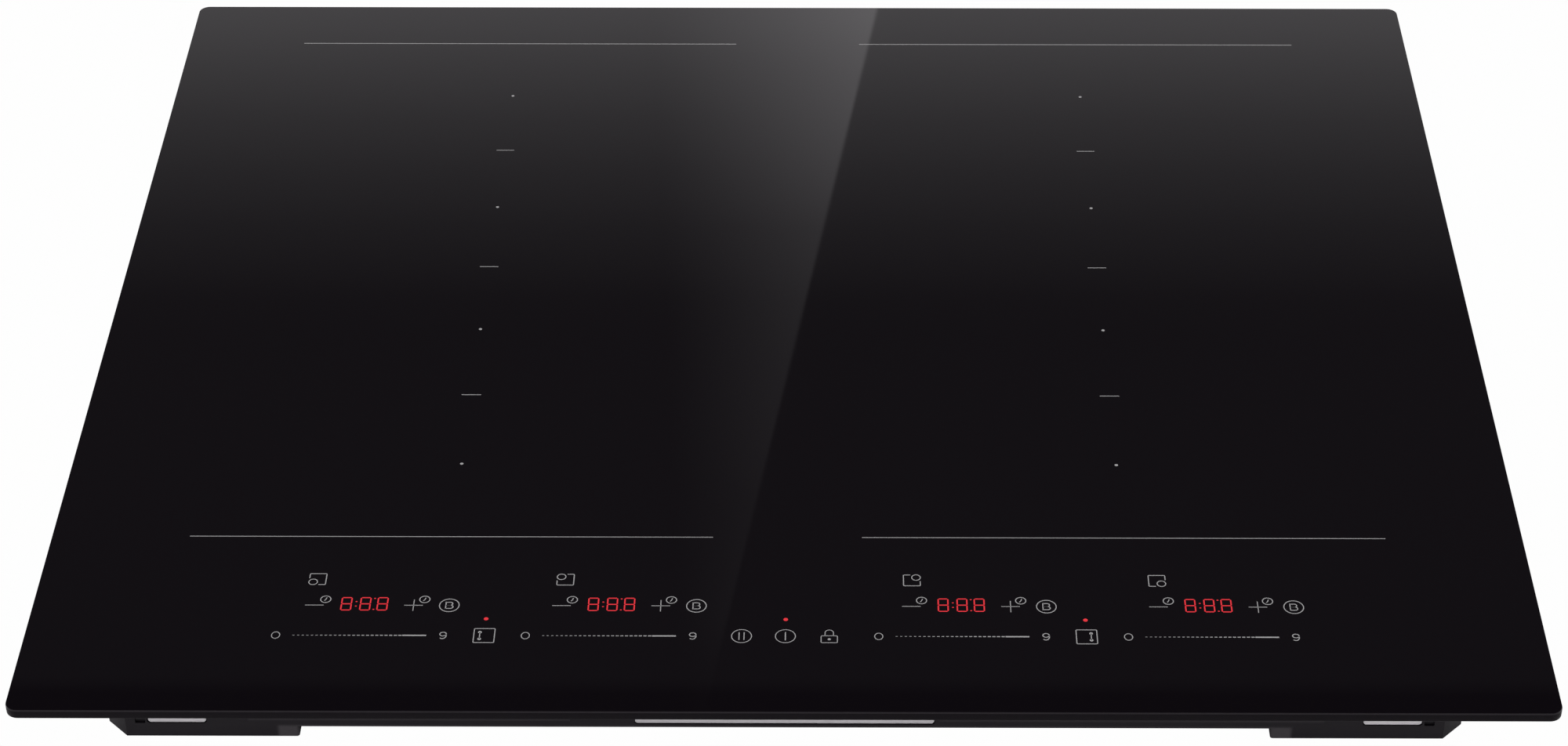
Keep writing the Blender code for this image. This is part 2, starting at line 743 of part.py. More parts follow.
def make_controls():
    """Control board on its carrier, its display modules and the ribbon lead to a power board."""
    high = BOARD_LOW - GAP
    carrier = add_object("control_carrier", box(span(0, CARRIER_HALF), CARRIER_Y, (CARRIER_LOW, high)))
    middle_y = sum(CARRIER_Y) / 2
    depth = (CARRIER_Y[1] - CARRIER_Y[0]) / 2 - CARRIER_RIM
    pitch = 2 * (CARRIER_HALF - CARRIER_RIM) / CARRIER_BAYS
    floor = CARRIER_LOW + CARRIER_FLOOR
    window = (pitch * WINDOW_SHARE[0], depth * WINDOW_SHARE[1])
    pockets = []
    windows = []
    for index in range(CARRIER_BAYS):
        x = (index - (CARRIER_BAYS - 1) / 2) * pitch
        pockets.append(box(span(x, pitch / 2 - CARRIER_RIM), span(middle_y, depth), (floor, high + THROUGH)))
        windows.append(
            box(span(x, window[0]), span(middle_y, window[1]), (CARRIER_LOW - THROUGH, floor + THROUGH))
        )
    cut(carrier, together(pockets), together(windows))
    finish(carrier, surface("carrier plastic", (0.02, 0.02, 0.022), 0.5))

    top = BOARD_LOW + BOARD_SHEET
    outline = rounded_outline((-BOARD_HALF, BOARD_Y[0]), (BOARD_HALF, BOARD_Y[1]), [4.0] * 4, 2)
    board = add_object("control_board", prism(outline, BOARD_LOW, top))
    chips = [
        box(span(x, half_x), span(y, half_y), (top - OVERLAP, top + height))
        for (x, y), (half_x, half_y), height in CHIPS
    ]
    join(board, together(chips))
    finish(board, surface("control board", (0.01, 0.06, 0.03), 0.45))

    black = surface("display body", (0.015, 0.015, 0.016), 0.3)
    low = top + GAP
    high = GLASS_UNDER - GAP
    half_x, half_y = DISPLAY_HALF
    outlines = ((low, 0.0), (high - DISPLAY_BEVEL, 0.0), (high, DISPLAY_BEVEL))
    loops = [
        [(x, y, height) for x, y in centred_outline(half_x - inset, half_y - inset, DISPLAY_CORNER)]
        for height, inset in outlines
    ]
    module = None
    for word, x in DISPLAY_X.items():
        place = (x, DISPLAY_Y, 0.0)
        if module is None:
            module = finish(add_object(f"display_{word}", loft(loops)), black)
            put(module, place)
        else:
            copy_of(module, f"display_{word}", place)

    below = [(y - HARNESS_THICK * 0.7, z - HARNESS_THICK) for y, z in HARNESS_PATH]
    harness = add_object("control_harness", prism([*HARNESS_PATH, *below[::-1]], *HARNESS_X, along="x"))
    finish(harness, surface("ribbon lead", (0.45, 0.46, 0.47), 0.55))


def make_trays():
    """Aluminium tray under each pair of windings, with folded edges and a hole below each winding."""
    aluminium = surface("tray aluminium", (0.8, 0.8, 0.81), 0.4, 1.0)
    for word, side in SIDES.items():
        x = flipped(side, *TRAY_X)
        high = TRAY_LOW + TRAY_SHEET
        tray = add_object(f"coil_tray_{word}", box(x, TRAY_Y, (TRAY_LOW - TRAY_LIP, high)))
        under = (x[0] + TRAY_SHEET, x[1] - TRAY_SHEET)
        ends = (TRAY_Y[0] - THROUGH, TRAY_Y[1] + THROUGH)
        cut(tray, box(under, ends, (TRAY_LOW - TRAY_LIP - THROUGH, TRAY_LOW)))
        holes = [
            disc(COIL_HOLE, TRAY_LOW - THROUGH, high + THROUGH, 16, (side * COIL_X, y))
            for y in COIL_Y.values()
        ]
        cut(tray, together(holes))
        finish(tray, aluminium)


def former_object(name):
    """Moulded disc with a hub and a rim, on radial ferrite bars."""
    bore, hub, rim_inner, rim_outer = FORMER_RADII
    disc_low, disc_high = FORMER_DISC
    profile = [
        (bore, disc_low),
        (rim_outer, disc_low),
        (rim_outer, FORMER_RIM),
        (rim_inner, FORMER_RIM),
        (rim_inner, disc_high),
        (hub, disc_high),
        (hub, FORMER_RIM),
        (bore, FORMER_RIM),
    ]
    former = add_object(name, turned(profile, 20))
    bars = []
    for index in range(FERRITE_COUNT):
        angle = 2 * math.pi * (index + 0.5) / FERRITE_COUNT
        corners = [
            (FERRITE_REACH[0], -FERRITE_HALF),
            (FERRITE_REACH[1], -FERRITE_HALF),
            (FERRITE_REACH[1], FERRITE_HALF),
            (FERRITE_REACH[0], FERRITE_HALF),
        ]
        outline = [
            (u * math.cos(angle) - v * math.sin(angle), u * math.sin(angle) + v * math.cos(angle))
            for u, v in corners
        ]
        bars.append(prism(outline, FORMER_LOW, disc_low + OVERLAP))
    join(former, together(bars))
    return finish(former, surface("former plastic", (0.12, 0.11, 0.1), 0.6))


def winding_object(name):
    """Flat spiral of litz wire from the hub out to the rim."""
    first, last = WINDING_RADII
    low, high = WINDING_HEIGHTS
    sections = []
    count = WINDING_TURNS * WINDING_STEPS
    for step in range(count + 1):
        angle = 2 * math.pi * step / WINDING_STEPS
        radius = first + (last - first) * step / count
        section = []
        for offset, height in ((-WIRE_HALF, low), (WIRE_HALF, low), (WIRE_HALF, high), (-WIRE_HALF, high)):
            reach = radius + offset
            section.append((reach * math.cos(angle), reach * math.sin(angle), height))
        sections.append(section)
    return finish(add_object(name, loft(sections)), surface("litz wire", (0.55, 0.2, 0.07), 0.4, 0.8))


def mica_object(name):
    inner, outer = MICA_RADII
    low, high = MICA_HEIGHTS
    mica = add_object(name, turned([(inner, low), (outer, low), (outer, high), (inner, high)], 20))
    return finish(mica, surface("mica", (0.62, 0.56, 0.45), 0.5))


def sensor_object(name):
    """Temperature sensor: a soft cap that touches the glass, on a stem through the tray."""
    cap = surface("sensor cap", (0.75, 0.74, 0.7), 0.6)
    return finish(add_object(name, turned(SENSOR_PROFILE, 12)), cap)


def make_zones():
    """Former, winding, mica disc and temperature sensor of each of the four zones."""
    makers = {
        "coil_former": former_object,
        "coil_winding": winding_object,
        "mica_disc": mica_object,
        "temperature_sensor": sensor_object,
    }
    for kind, make in makers.items():
        first = None
        for end, y in COIL_Y.items():
            for word, side in SIDES.items():
                name = f"{kind}_{end}_{word}"
                place = (side * COIL_X, y, 0.0)
                if first is None:
                    first = make(name)
                    put(first, place)
                else:
                    copy_of(first, name, place)


def make_springs():
    """Compression springs on the housing's posts, which press the trays up."""
    low, high = SPRING_HEIGHTS
    count = SPRING_TURNS * SPRING_STEPS
    rise = high - low - 2 * SPRING_WIRE
    sections = []
    for step in range(count + 1):
        angle = 2 * math.pi * step / SPRING_STEPS
        middle = low + SPRING_WIRE + rise * step / count
        section = []
        for out, up in ((-1, -1), (1, -1), (1, 1), (-1, 1)):
            reach = SPRING_RADIUS + out * SPRING_WIRE
            section.append((reach * math.cos(angle), reach * math.sin(angle), middle + up * SPRING_WIRE))
        sections.append(section)
    steel = surface("spring steel", (0.6, 0.6, 0.62), 0.3, 1.0)
    first = None
    for word, side in SIDES.items():
        for end, x in SPRING_X.items():
            name = f"tray_spring_{word}_{end}"
            place = (side * x, SPRING_Y, 0.0)
            if first is None:
                first = finish(add_object(name, loft(sections)), steel)
                put(first, place)
            else:
                copy_of(first, name, place)


def make_power_boards():
    """Inverter boards with their small parts, heat sinks, capacitors and chokes."""
    green = surface("power board", (0.02, 0.12, 0.05), 0.5)
    silver = surface("heat sink aluminium", (0.72, 0.73, 0.74), 0.4, 1.0)
    yellow = surface("film capacitor", (0.75, 0.55, 0.08), 0.45)
    grey = surface("film capacitor grey", (0.3, 0.31, 0.33), 0.45)
    copper = surface("choke winding", (0.5, 0.2, 0.08), 0.35, 0.7)
    top = POWER_LOW + POWER_SHEET
    on_board = top + GAP
    for word, side in SIDES.items():
        board = add_object(f"power_board_{word}", box(flipped(side, *POWER_X), POWER_Y, (POWER_LOW, top)))
        parts = [box(flipped(side, *x), y, (top - OVERLAP, top + height)) for x, y, height in POWER_PARTS]
        join(board, together(parts))
        finish(board, green)

        low_x, high_x = flipped(side, *SINK_X)
        pitch = (high_x - low_x - SINK_FIN) / (SINK_FINS - 1)
        comb = [(low_x, on_board), (high_x, on_board)]
        for index in reversed(range(SINK_FINS)):
            left = low_x + index * pitch
            comb += [(left + SINK_FIN, SINK_TOP), (left, SINK_TOP)]
            if index > 0:
                comb += [(left, on_board + SINK_BASE), (left - pitch + SINK_FIN, on_board + SINK_BASE)]
        finish(add_object(f"heat_sink_{word}", prism(comb, *SINK_Y, along="y")), silver)

        for kind, (y, high), material in (
            ("bus_capacitor", BUS_CAPACITOR, yellow),
            ("resonant_capacitor", RESONANT_CAPACITOR, grey),
        ):
            x = flipped(side, *CAPACITOR_X)
            outline = rounded_outline((x[0], y[0]), (x[1], y[1]), [CAPACITOR_CORNER] * 4, 2)
            finish(add_object(f"{kind}_{word}", prism(outline, on_board, high)), material)

        ring, section = CHOKE_RADII
        middle_z = on_board + section + GAP
        choke = []
        for index in range(8):
            angle = 2 * math.pi * index / 8
            choke.append((ring + section * math.cos(angle), middle_z + section * math.sin(angle)))
        middle = (side * CHOKE[0], CHOKE[1])
        finish(add_object(f"filter_choke_{word}", turned(choke, 16, middle)), copper)


def scroll_points(inset):
    """The scroll's outline, whose radius grows evenly from the tongue round to the duct's outer wall."""
    points = []
    for step in range(SCROLL_STEPS + 1):
        part = step / SCROLL_STEPS
        angle = math.radians(SCROLL_START + (360.0 - SCROLL_START) * part)
        radius = SCROLL_RADII[0] + (SCROLL_RADII[1] - SCROLL_RADII[0]) * part - inset
        points.append((radius * math.cos(angle), radius * math.sin(angle)))
    return points


def blower_housing(name):
    """Scroll that hangs from a top plate, which also carries the motor and its shaft."""
    outer = scroll_points(0.0)
    duct_outer = SCROLL_RADII[1]
    plate = [(DUCT_INNER, DUCT_END)] + outer + [(duct_outer, DUCT_END)]
    inner = scroll_points(SCROLL_WALL)
    tongue = (DUCT_INNER + SCROLL_WALL, outer[0][1])
    wall = plate + [(duct_outer - SCROLL_WALL, DUCT_END)] + inner[::-1]
    wall += [tongue, (DUCT_INNER + SCROLL_WALL, DUCT_END)]
    plate_low = BLOWER_HIGH - BLOWER_PLATE
    blower = add_object(name, prism(plate, plate_low, BLOWER_HIGH))
    join(blower, prism(wall, BLOWER_LOW, plate_low + OVERLAP))
    motor_low = IMPELLER_HEIGHTS[1] + MOTOR_GAP
    motor = [
        (0, SHAFT_LOW),
        (SHAFT_RADIUS, SHAFT_LOW),
        (SHAFT_RADIUS, motor_low),
        (MOTOR_RADIUS, motor_low),
        (MOTOR_RADIUS, plate_low + OVERLAP),
        (0, plate_low + OVERLAP),
    ]
    join(blower, turned(motor, 16))
    return finish(blower, surface("blower plastic", (0.02, 0.02, 0.02), 0.5))


def impeller_object(name):
    """Hub and back plate with forward-curved blades, held together by a ring at their free ends."""
    low, high = IMPELLER_HEIGHTS
    plate_low = high - IMPELLER_PLATE
    blade_low = low + BLADE_SHORTER
    profile = [
        (IMPELLER_BORE, low + HUB_SHORTER),
        (HUB_RADIUS, low + HUB_SHORTER),
        (HUB_RADIUS, plate_low),
        (IMPELLER_RADIUS, plate_low),
        (IMPELLER_RADIUS, high),
        (IMPELLER_BORE, high),
    ]
    impeller = add_object(name, turned(profile, 24))
    blades = []
    inner, outer = BLADE_REACH
    steps = 2
    for index in range(BLADE_COUNT):
        start = 2 * math.pi * index / BLADE_COUNT
        front = []
        back = []
        for step in range(steps + 1):
            part = step / steps
            radius = inner + (outer - inner) * part
            angle = start + math.radians(BLADE_SWEEP) * part**2
            half = BLADE_THICKNESS / 2 / radius
            front.append((radius * math.cos(angle - half), radius * math.sin(angle - half)))
            back.append((radius * math.cos(angle + half), radius * math.sin(angle + half)))
        blades.append(prism(front + back[::-1], blade_low, plate_low + OVERLAP))
    join(impeller, together(blades))
    ring = [
        (RING_INNER, low),
        (RING_OUTER, low),
        (RING_OUTER, blade_low + OVERLAP),
        (RING_INNER, blade_low + OVERLAP),
    ]
    join(impeller, turned(ring, 24))
    return finish(impeller, surface("impeller plastic", (0.05, 0.05, 0.052), 0.45))


def make_blowers():
    """Two blowers over the inlet grilles. Each impeller's origin is on its shaft's axis."""
    first = {}
    for word, side in SIDES.items():
        place = (side * BLOWER[0], BLOWER[1], 0.0)
        for kind, make in (("blower_housing", blower_housing), ("blower_impeller", impeller_object)):
            name = f"{kind}_{word}"
            if kind in first:
                copy_of(first[kind], name, place)
            else:
                first[kind] = make(name)
                put(first[kind], place)


def make_terminals():
    """Terminal block and cord clamp under the compartment's ceiling, and the cover that closes it."""
    ceiling = CHAMBER_TOP - WALL - GAP
    low_x, high_x = span(0, BLOCK_HALF)
    pitch = (high_x - low_x - BLOCK_RIB) / (BLOCK_RIBS - 1)
    comb = [(low_x, ceiling)]
    for index in range(BLOCK_RIBS):
        left = low_x + index * pitch
        if index > 0:
            comb.append((left, BLOCK_BASE))
        comb += [(left, BLOCK_LOW), (left + BLOCK_RIB, BLOCK_LOW)]
        if index < BLOCK_RIBS - 1:
            comb.append((left + BLOCK_RIB, BLOCK_BASE))
    comb.append((high_x, ceiling))
    block = add_object("terminal_block", prism(comb, *BLOCK_Y, along="y"))
    radius, screw_low = TERMINAL_SCREW
    screws = []
    for index in range(BLOCK_RIBS - 1):
        middle = (low_x + (index + 0.5) * pitch + BLOCK_RIB / 2, sum(BLOCK_Y) / 2)
        screws.append(disc(radius, screw_low, BLOCK_BASE + OVERLAP, 8, middle))
    join(block, together(screws))
    finish(block, surface("terminal plastic", (0.82, 0.81, 0.77), 0.5))

    half, low, high = CABLE_HOLE
    outline = rounded_outline((-CORD_CLAMP_HALF, CORD_CLAMP_LOW), (CORD_CLAMP_HALF, ceiling), [0] * 4)
    clamp = add_object("cord_clamp", prism(outline, *CORD_CLAMP_Y, along="y"))
    cut(clamp, box(span(0, half), (CORD_CLAMP_Y[0] - THROUGH, CORD_CLAMP_Y[1] + THROUGH), (low, high)))
    finish(clamp, surface("cord clamp plastic", (0.04, 0.04, 0.042), 0.5))

    x = span(0, CHAMBER_HALF - WALL - GAP)
    y = (CHAMBER_FRONT + WALL + GAP, DEEP_BACK - WALL - GAP)
    cover = add_object("terminal_cover", box(x, y, (0.0, WALL)))
    half_x, half_y = COVER_GROOVE_HALF
    groove_z = (-THROUGH, COVER_GROOVE_DEPTH)
    cutters = [
        box(span(0, half_x), span(COVER_GROOVE_FIRST_Y + index * COVER_GROOVE_PITCH, half_y), groove_z)
        for index in range(COVER_GROOVES)
    ]
    for side in SIDES.values():
        cutters.append(disc(COVER_HOLE, -THROUGH, WALL + THROUGH, 10, (side * LUG_X, LUG_Y)))
    cut(cover, together(cutters))
    finish(cover, surface("cover plastic", (0.014, 0.014, 0.015), 0.45))


def main():
    for thing in list(bpy.data.objects):
        bpy.data.objects.remove(thing)
    make_glass()
    make_seal()
    make_rails()
    make_housing()
    make_clamps()
    make_shield()
    make_controls()
    make_trays()
    make_zones()
    make_springs()
    make_power_boards()
    make_blowers()
    make_terminals()


main()
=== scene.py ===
"""Looks of the built-in induction hob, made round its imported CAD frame.

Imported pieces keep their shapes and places, and get their finishes and rounded edges here. The glass
and the coil windings are made again with finer surfaces, and the printed marks and lit segments are
added on the glass. The hob's sizes are in millimetres, and MM turns them into metres.
"""

import json
import math
from functools import partial

import bmesh
import bpy
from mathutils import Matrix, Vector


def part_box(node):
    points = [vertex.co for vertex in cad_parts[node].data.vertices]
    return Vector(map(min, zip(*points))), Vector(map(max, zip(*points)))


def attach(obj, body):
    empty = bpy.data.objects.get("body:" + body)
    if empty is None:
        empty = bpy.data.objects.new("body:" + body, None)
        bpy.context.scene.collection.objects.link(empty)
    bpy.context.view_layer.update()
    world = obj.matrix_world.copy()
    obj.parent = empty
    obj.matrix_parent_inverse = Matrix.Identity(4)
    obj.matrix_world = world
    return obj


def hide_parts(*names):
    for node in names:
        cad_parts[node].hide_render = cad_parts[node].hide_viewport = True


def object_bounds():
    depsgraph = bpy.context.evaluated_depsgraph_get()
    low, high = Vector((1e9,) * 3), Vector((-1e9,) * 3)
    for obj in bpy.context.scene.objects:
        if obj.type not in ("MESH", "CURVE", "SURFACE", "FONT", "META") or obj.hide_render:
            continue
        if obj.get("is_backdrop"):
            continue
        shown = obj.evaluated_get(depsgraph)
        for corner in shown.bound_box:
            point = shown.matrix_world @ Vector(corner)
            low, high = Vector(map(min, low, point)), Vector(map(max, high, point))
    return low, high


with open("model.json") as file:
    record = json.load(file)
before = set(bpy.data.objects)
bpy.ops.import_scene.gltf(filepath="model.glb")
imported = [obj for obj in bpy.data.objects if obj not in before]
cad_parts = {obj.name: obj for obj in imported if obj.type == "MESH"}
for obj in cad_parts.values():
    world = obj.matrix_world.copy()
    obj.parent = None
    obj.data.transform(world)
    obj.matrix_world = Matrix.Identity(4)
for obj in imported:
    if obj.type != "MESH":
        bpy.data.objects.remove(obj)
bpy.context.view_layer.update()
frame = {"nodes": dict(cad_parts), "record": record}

MM = 0.001
BODY = "hob"

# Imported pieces
WELD = 0.001  # corners closer than this become one
SMOOTH_ANGLE = 32.0  # degrees: sharper edges stay sharp
EDGE_ANGLE = 40.0  # degrees: sharper edges are rounded
EDGE_STEPS = 2

# Painted highlight on the front of the housing: a paler plastic tone standing in for the light caught by
# the ribs and by the inner end of each corner block
PAINTED_HIGHLIGHT_TONE = (0.052, 0.0465, 0.052)
HIGHLIGHT_X = (194.9, 196.9)  # on a corner block it fades out between these distances from the middle
HIGHLIGHT_Z = (31.7, 33.5)  # and between these heights
HIGHLIGHT_DEPTH = 3.0  # and reaches this far back
RIB_HIGHLIGHT_SHARE = 0.3  # how much of it shows on the ribs
RIB_DEPTH = 0.3  # which are ahead of this depth
RIB_LOW = 35.7  # and above this height

# Glass plate
GLASS_CORNER = 5.0
TOP_ARRIS = ((0.0, 0.66), (0.015, 0.56), (0.14, 0.12), (0.18, 0.04), (0.25, 0.0))  # inward and down
UNDER_ARRIS = ((0.2, 0.0), (0.12, 0.02), (0.06, 0.06), (0.02, 0.12), (0.0, 0.2))  # inward and up
GLASS_TINT = (1.0, 0.93, 1.0)
SIDE_FINISH = (0.4, 0.07)  # roughness and specular level
ARRIS_FINISH = (0.22, 0.33)
CORNER_STEPS = 12

# Printed marks and lit segments, as thin solids on the glass
PRINT_SINK = 0.02
PRINT_RISE = 0.03
LIT_RISE = 0.04
ARC_STEP = 12.0  # degrees between the points of a curved mark
MITRE_LIMIT = 0.3  # lowest cosine at a bend, so that a sharp one doesn't reach too far
ICON_LINE = 0.41
FINE_LINE = 0.38
THIN_LINE = 0.34
ICON_CORNER = 0.45
PRINT_MIDDLE = 0.16  # the print sits this far to the right of the glass's middle
ZONE_LINE_X = (29.85, 239.75)
ZONE_LINE_PAST = 95.2  # from the middle of a coil to the zone's end line
ZONE_LINES = (0.37, 0.5)  # widths of a zone's front and rear end lines
MARK_LINE = 0.4
MARKS_X = 134.75
MARKS_PER_COIL_PITCH = 4
MARK_COUNT = 7
DASH_HALF = 4.1
DOT_RADIUS = 0.7

# Control groups, measured from the middle of each display module
SLIDER_DROP = 18.5
ZERO_X = -32.46
ZERO_HALF = (1.58, 1.93)
DASHES_X = (-26.44, 16.65)
DASH_COUNT = 24
DASH_FILL = (0.45, 0.72)  # length of the first and last dash, as a share of their pitch
DASH_LINE = (0.24, 0.55)
FULL_BAR_END = 25.9
FULL_BAR_LINE = 0.72
NINE_X = 32.4
KEYS_DROP = 0.4
MINUS_X = -19.6
PLUS_X = 19.3
KEY_HALF = (3.65, 3.4)
CLOCK_OFFSET = (4.08, 3.55)
CLOCK_RADIUS = 2.0
BOOST_X = 33.3
BOOST_RADIUS = 3.85
ZONE_ICON_RISE = 15.9
ZONE_ICON_HALF = (3.3, 3.35)
ZONE_ICON_RADIUS = 1.7
ZONE_ICON_INSET = 1.62
ZONE_ICON_GAP = 0.55
DIGITS_RISE = 0.4
DIGIT_X = (-7.1, 0.32, 7.05)
DIGIT_HALF = (1.9, 3.75)
SEGMENT = 0.54
SEGMENT_GAP = 0.12
COLON_X = -3.28
COLON_Y = 1.37
POINT_X = 3.8
POINT_Y = 3.33
POINT_HALF = 0.34
POINT_LINE = 0.5

# Keys in the middle of the control row
PAUSE_X = -17.0
LOCK_X = 17.0
BRIDGE_X = 116.8
BRIDGE_HALF = (4.02, 4.15)
BRIDGE_STEM = 1.75
BRIDGE_DOT_Y = 2.0
BRIDGE_DOT = 0.72
POWER_BAR = ((0.0,), 2.42, 0.44)  # places of a key's bars in x, their half length and their width
PAUSE_BARS = ((-0.97, 0.97), 2.28, 0.4)
KEY_RADIUS = 3.88
LAMP_RISE = 10.0  # from the control row to the lamps
LAMP_RADIUS = 0.9

# Windings and leads
WIRE_TURNS = 18
WIRE_STEPS = 40  # in a turn
WIRE_SECTION = 6  # sides of a bundle
WIRE_BORE = 22.5  # radius inside the first turn
WIRE_FILL = (0.47, 0.96)  # half width as a share of the pitch, and height as a share of the solid's
RIBBON_WIRES = 10

# Studio, in metres: its walls are a square box seen in the glass, and a height on them is given as a
# share of their distance
WHITE = (0.99, 0.99, 0.99)  # floor and walls, as the camera sees them
FLOOR_GREY = (0.55, 0.54, 0.55)  # floor, as everything else sees it
FLOOR_HALF = 4.0
FLOOR_DROP = 0.0005
WALL_LIGHT = (  # height and brightness
    (0.0, 0.75),
    (0.45, 0.7),
    (0.588, 0.64),
    (0.599, 0.56),
    (0.612, 0.45),
    (0.632, 0.305),
    (0.653, 0.2),
    (0.675, 0.12),
    (0.705, 0.05),
    (0.72, 0.042),
    (0.8822, 0.036),
    (0.8838, 0.0),
)
WINDOW_LIGHT = (  # height and brightness, added to the wall's
    (0.35, 0.15),
    (0.593, 0.62),
    (0.612, 0.53),
    (0.632, 0.47),
    (0.653, 0.37),
    (0.676, 0.23),
    (0.705, 0.17),
    (0.732, 0.13),
    (0.766, 0.095),
    (0.795, 0.06),
    (0.85, 0.04),
    (0.873, 0.01),
    (0.95, 0.0),
)
WINDOW_LEFT = -0.061  # its places across the back wall are shares of the distance too
WINDOW_RIGHT = 0.1327  # at the floor
WINDOW_SLANT = -0.2049
WINDOW_BLUR = 0.0006
WINDOW_FADE = 1.3  # power that its brightness falls with, towards the left
CEILING_FROM = 0.86  # upward share of a direction, where the ceiling's light begins
CEILING_LIGHT = 0.5
PANELS = (  # name, place, size and power in watts
    ("overhead", (0.0, 0.0, 2.4), 2.6, 70.0),
    ("front_left", (-2.2, -2.2, 1.7), 1.6, 26.0),
    ("back_right", (2.2, 2.2, 1.7), 1.6, 26.0),
)
CAMERA_PLACE = (0.02117, -1.26157, 0.95551)
CAMERA_TURN = (0.912816, -0.000401, 0.002960)
CAMERA_LENS = 81.53
CAMERA_SENSOR = 36.0
CAMERA_SHIFT = (-0.03096, 0.0516)


class Nodes:
    """Adds nodes to a tree and wires them. A value may be a socket, a number or a tuple."""

    def __init__(self, tree):
        self.tree = tree

    def feed(self, socket, value):
        if isinstance(value, bpy.types.NodeSocket):
            self.tree.links.new(value, socket)
        else:
            socket.default_value = value

    def add(self, kind, settings=None, **inputs):
        node = self.tree.nodes.new(kind)
        for key, value in (settings or {}).items():
            setattr(node, key, value)
        for key, value in inputs.items():
            self.feed(node.inputs[key.replace("_", " ")], value)
        return node

    def math(self, operation, *values):
        node = self.add("ShaderNodeMath", {"operation": operation})
        for socket, value in zip(node.inputs, values):
            self.feed(socket, value)
        return node.outputs[0]

    def place(self):
        """The point being shaded, in the frame's metres."""
        return self.add("ShaderNodeTexCoord").outputs["Object"]

    def split(self, vector):
        return self.add("ShaderNodeSeparateXYZ", Vector=vector).outputs

    def stretched(self, vector, scale):
        """The vector with each axis multiplied, so that a texture on it gets longer or finer there."""
        return self.add("ShaderNodeMapping", Vector=vector, Scale=scale).outputs[0]

    def noise(self, vector, size, detail=2.0, rough=0.5):
        """Noise whose blobs are about size millimetres across."""
        scale = 1 / (size * MM)
        node = self.add("ShaderNodeTexNoise", Vector=vector, Scale=scale, Detail=detail, Roughness=rough)
        return node.outputs["Fac"]

    def cells(self, vector, size, feature="F1", output="Distance", randomness=1.0):
        """Cells about size millimetres across: the distance within each, or its random colour."""
        settings = {"feature": feature}
        scale = 1 / (size * MM)
        node = self.add("ShaderNodeTexVoronoi", settings, Vector=vector, Scale=scale, Randomness=randomness)
        return node.outputs[output]

    def bands(self, value, pitch):
        """A wave between 0 and 1 that repeats every pitch millimetres along value, which is in metres."""
        turn = self.math("MULTIPLY", value, 2 * math.pi / (pitch * MM))
        return self.math("MULTIPLY_ADD", self.math("SINE", turn), 0.5, 0.5)

    def remap(self, value, low, high, to_low, to_high, smooth=False):
        kind = "SMOOTHSTEP" if smooth else "LINEAR"
        node = self.add("ShaderNodeMapRange", {"interpolation_type": kind}, Value=value)
        for key, number in (("From Min", low), ("From Max", high), ("To Min", to_low), ("To Max", to_high)):
            self.feed(node.inputs[key], number)
        return node.outputs[0]

    def around(self, noise, middle, swing):
        """Noise turned into values about middle, up to swing on either side for most of it."""
        return self.remap(noise, 0.3, 0.7, middle - swing, middle + swing)

    def curve(self, value, stops):
        """Straight stretches between (position, value) stops, for positions and values from 0 to 1."""
        node = self.add("ShaderNodeValToRGB", Fac=value)
        elements = node.color_ramp.elements
        for _ in range(len(stops) - len(elements)):
            elements.new(0.5)
        for element, (position, _) in zip(elements, stops):
            element.position = position
        for element, (_, number) in zip(elements, stops):
            element.color = (number, number, number, 1.0)
        return node.outputs["Color"]

    def blend(self, factor, first, second):
        node = self.add("ShaderNodeMix", {"data_type": "RGBA"})
        self.feed(node.inputs[0], factor)
        for socket, colour in ((node.inputs[6], first), (node.inputs[7], second)):
            self.feed(socket, (*colour, 1.0) if isinstance(colour, tuple) else colour)
        return node.outputs[2]

    def bump(self, height, depth, under=None):
        """Normals of a relief depth millimetres deep, on top of the relief under it."""
        node = self.add("ShaderNodeBump", Height=height, Distance=depth * MM, Strength=1.0)
        if under is not None:
            self.feed(node.inputs["Normal"], under)
        return node.outputs[0]


def new_material(name):
    """Material with its nodes and its Principled shader."""
    material = bpy.data.materials.new(name)
    material.use_nodes = True
    nodes = Nodes(material.node_tree)
    return material, nodes, material.node_tree.nodes["Principled BSDF"]


def shaded(colour, factor):
    """The colour made darker or lighter."""
    return tuple(min(1.0, channel * factor) for channel in colour)


def dress(nodes, shader, **inputs):
    """Set or wire a shader's inputs, named with _ for each space."""
    for key, value in inputs.items():
        if isinstance(value, tuple) and len(value) == 3:
            value = (*value, 1.0)
        nodes.feed(shader.inputs[key.replace("_", " ")], value)


def moulded(name, colour, roughness, grain=0.5, depth=0.012, specular=0.5, cloud=0.12, pale=None):
    """Moulded plastic: fine eroded grain from the mould, and clouds of slightly different gloss.

    Pale may be a function that gives how much of a painted highlight, a paler tone standing in for caught
    light, shows at a place.
    """
    material, nodes, shader = new_material(name)
    place = nodes.place()
    clouds = nodes.noise(place, 34.0, 3.0)
    grains = nodes.noise(place, grain, 3.0, 0.6)
    flow = nodes.noise(nodes.stretched(place, (0.12, 1.0, 1.0)), 5.0, 2.0)
    tone = nodes.blend(clouds, shaded(colour, 1 - cloud), shaded(colour, 1 + cloud))
    if pale is not None:
        # painted highlight: the paler tone stands in for light caught by the surface
        tone = nodes.blend(pale(nodes, place), tone, PAINTED_HIGHLIGHT_TONE)
    gloss = nodes.math("ADD", nodes.around(clouds, roughness, 0.06), nodes.around(grains, 0.0, 0.04))
    relief = nodes.bump(grains, depth, nodes.bump(flow, depth / 2))
    dress(nodes, shader, Base_Color=tone, Roughness=gloss, Normal=relief, Specular_IOR_Level=specular)
    return material


